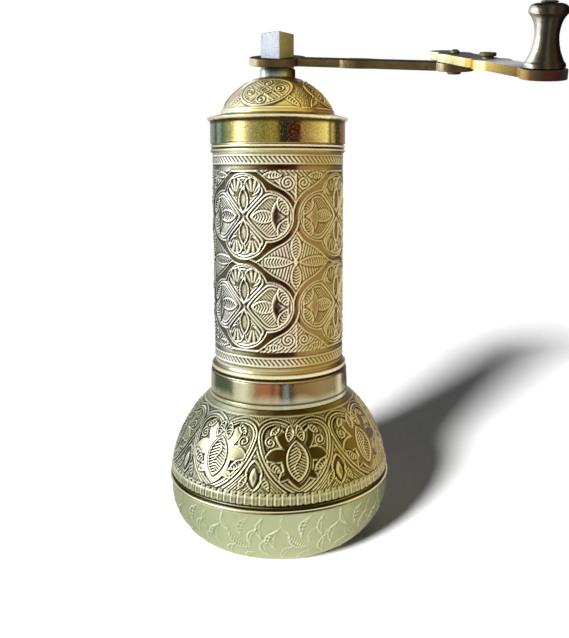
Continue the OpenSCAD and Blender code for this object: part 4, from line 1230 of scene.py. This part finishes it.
class MILL_OT_studio(bpy.types.Operator):
    """Lays the floor and sets the lamps, the sky and the camera"""
    bl_idname = "mill.studio"
    bl_label = "Studio"

    def execute(self, context):
        scene, s = context.scene, context.scene.mill_studio
        g = Graph("floor")
        spot = g.node("ShaderNodeNewGeometry")
        away = g.node("ShaderNodeVectorMath", {"operation": "LENGTH"}, {0: spot}, output="Value")
        clouds = g.node("ShaderNodeTexNoise", {}, {"Vector": spot, "Scale": 3.0})
        matt = g.node("ShaderNodeBsdfPrincipled", {}, {
            "Base Color": g.blend(clouds, (0.86, 0.86, 0.86), (0.9, 0.9, 0.9)), "Roughness": 0.7 + clouds * 0.1,
            "Specular IOR Level": 0.0})
        white = g.node("ShaderNodeEmission", {}, {"Color": (1, 1, 1, 1), "Strength": 1.0})
        share = away.band(*FLOOR_FADE) * g.seen()
        half = s.floor_size / 2
        mesh = bpy.data.meshes.new("floor")
        corners = [(-half, -half, 0), (half, -half, 0), (half, half, 0), (-half, half, 0)]
        mesh.from_pydata(corners, [], [(0, 1, 2, 3)])
        mesh.materials.append(g.close(g.node("ShaderNodeMixShader", {}, {0: share, 1: matt, 2: white})))
        floor = bpy.data.objects.new("floor", mesh)
        scene.collection.objects.link(floor)

        sky = Graph("studio", world=True)
        level = sky.node("ShaderNodeMapRange", {}, {"Value": sky.seen(), "To Min": s.ambient, "To Max": 1.0})
        light = sky.node("ShaderNodeBackground", {}, {"Color": (1, 1, 1, 1), "Strength": level})
        scene.world = sky.close(light)

        for name, kind, size, width, power, spot, aim in (
                ("key", "SUN", "angle", math.radians(11), s.key, (-0.5, -0.866, 0.45), (0, 0, 0)),
                ("side", "AREA", "size", 0.4, s.fill, (-0.62, -0.2, 0.34), (0, 0, 0.1))):
            lamp = bpy.data.lights.new(name, kind)
            setattr(lamp, size, width)
            lamp.energy = power
            thing = bpy.data.objects.new(name, lamp)
            thing.location = spot
            thing.rotation_euler = (Vector(aim) - Vector(spot)).to_track_quat("-Z", "Y").to_euler()
            thing.visible_glossy = kind != "SUN"
            thing.visible_diffuse = kind == "SUN"
            scene.collection.objects.link(thing)

        data = bpy.data.cameras.new("camera")
        data.sensor_width, data.lens = SENSOR, LENS / IMAGE_H * SENSOR
        data.shift_x, data.shift_y = (IMAGE_W / 2 - CENTRE[0]) / IMAGE_H, (CENTRE[1] - IMAGE_H / 2) / IMAGE_H
        data.clip_start = 0.01
        camera = bpy.data.objects.new("camera", data)
        camera.location = CAMERA_AT
        camera.rotation_euler = (math.radians(CAMERA_TILT), 0, 0)
        scene.collection.objects.link(camera)
        scene.camera = camera
        scene.view_settings.view_transform = "Standard"
        return {"FINISHED"}


class MILL_PT_panel(bpy.types.Panel):
    """Lists the steps that build the mill"""
    bl_idname = "MILL_PT_panel"
    bl_label = "Hand coffee mill"
    bl_space_type = "VIEW_3D"
    bl_region_type = "UI"
    bl_category = "Mill"

    def draw(self, context):
        for group in (context.scene.mill_finish, context.scene.mill_studio):
            box = self.layout.box()
            for key in group.bl_rna.properties.keys():
                if key not in ("rna_type", "name"):
                    box.prop(group, key)
        for step in STEPS:
            self.layout.operator(step.bl_idname)


STEPS = (MILL_OT_cup, MILL_OT_bulb, MILL_OT_collar, MILL_OT_tube, MILL_OT_lid, MILL_OT_shaft, MILL_OT_crank,
         MILL_OT_knob, MILL_OT_works, MILL_OT_studio)
CLASSES = (MillFinish, MillStudio, *STEPS, MILL_PT_panel)


def register():
    for kind in CLASSES:
        bpy.utils.register_class(kind)
    bpy.types.Scene.mill_finish = bpy.props.PointerProperty(type=MillFinish)
    bpy.types.Scene.mill_studio = bpy.props.PointerProperty(type=MillStudio)


def unregister():
    del bpy.types.Scene.mill_finish
    del bpy.types.Scene.mill_studio
    for kind in reversed(CLASSES):
        bpy.utils.unregister_class(kind)


def main():
    """Registers the mill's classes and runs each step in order."""
    register()
    for step in STEPS:
        group, action = step.bl_idname.split(".")
        getattr(getattr(bpy.ops, group), action)()
    bpy.context.view_layer.update()


if __name__ == "__main__":
    main()
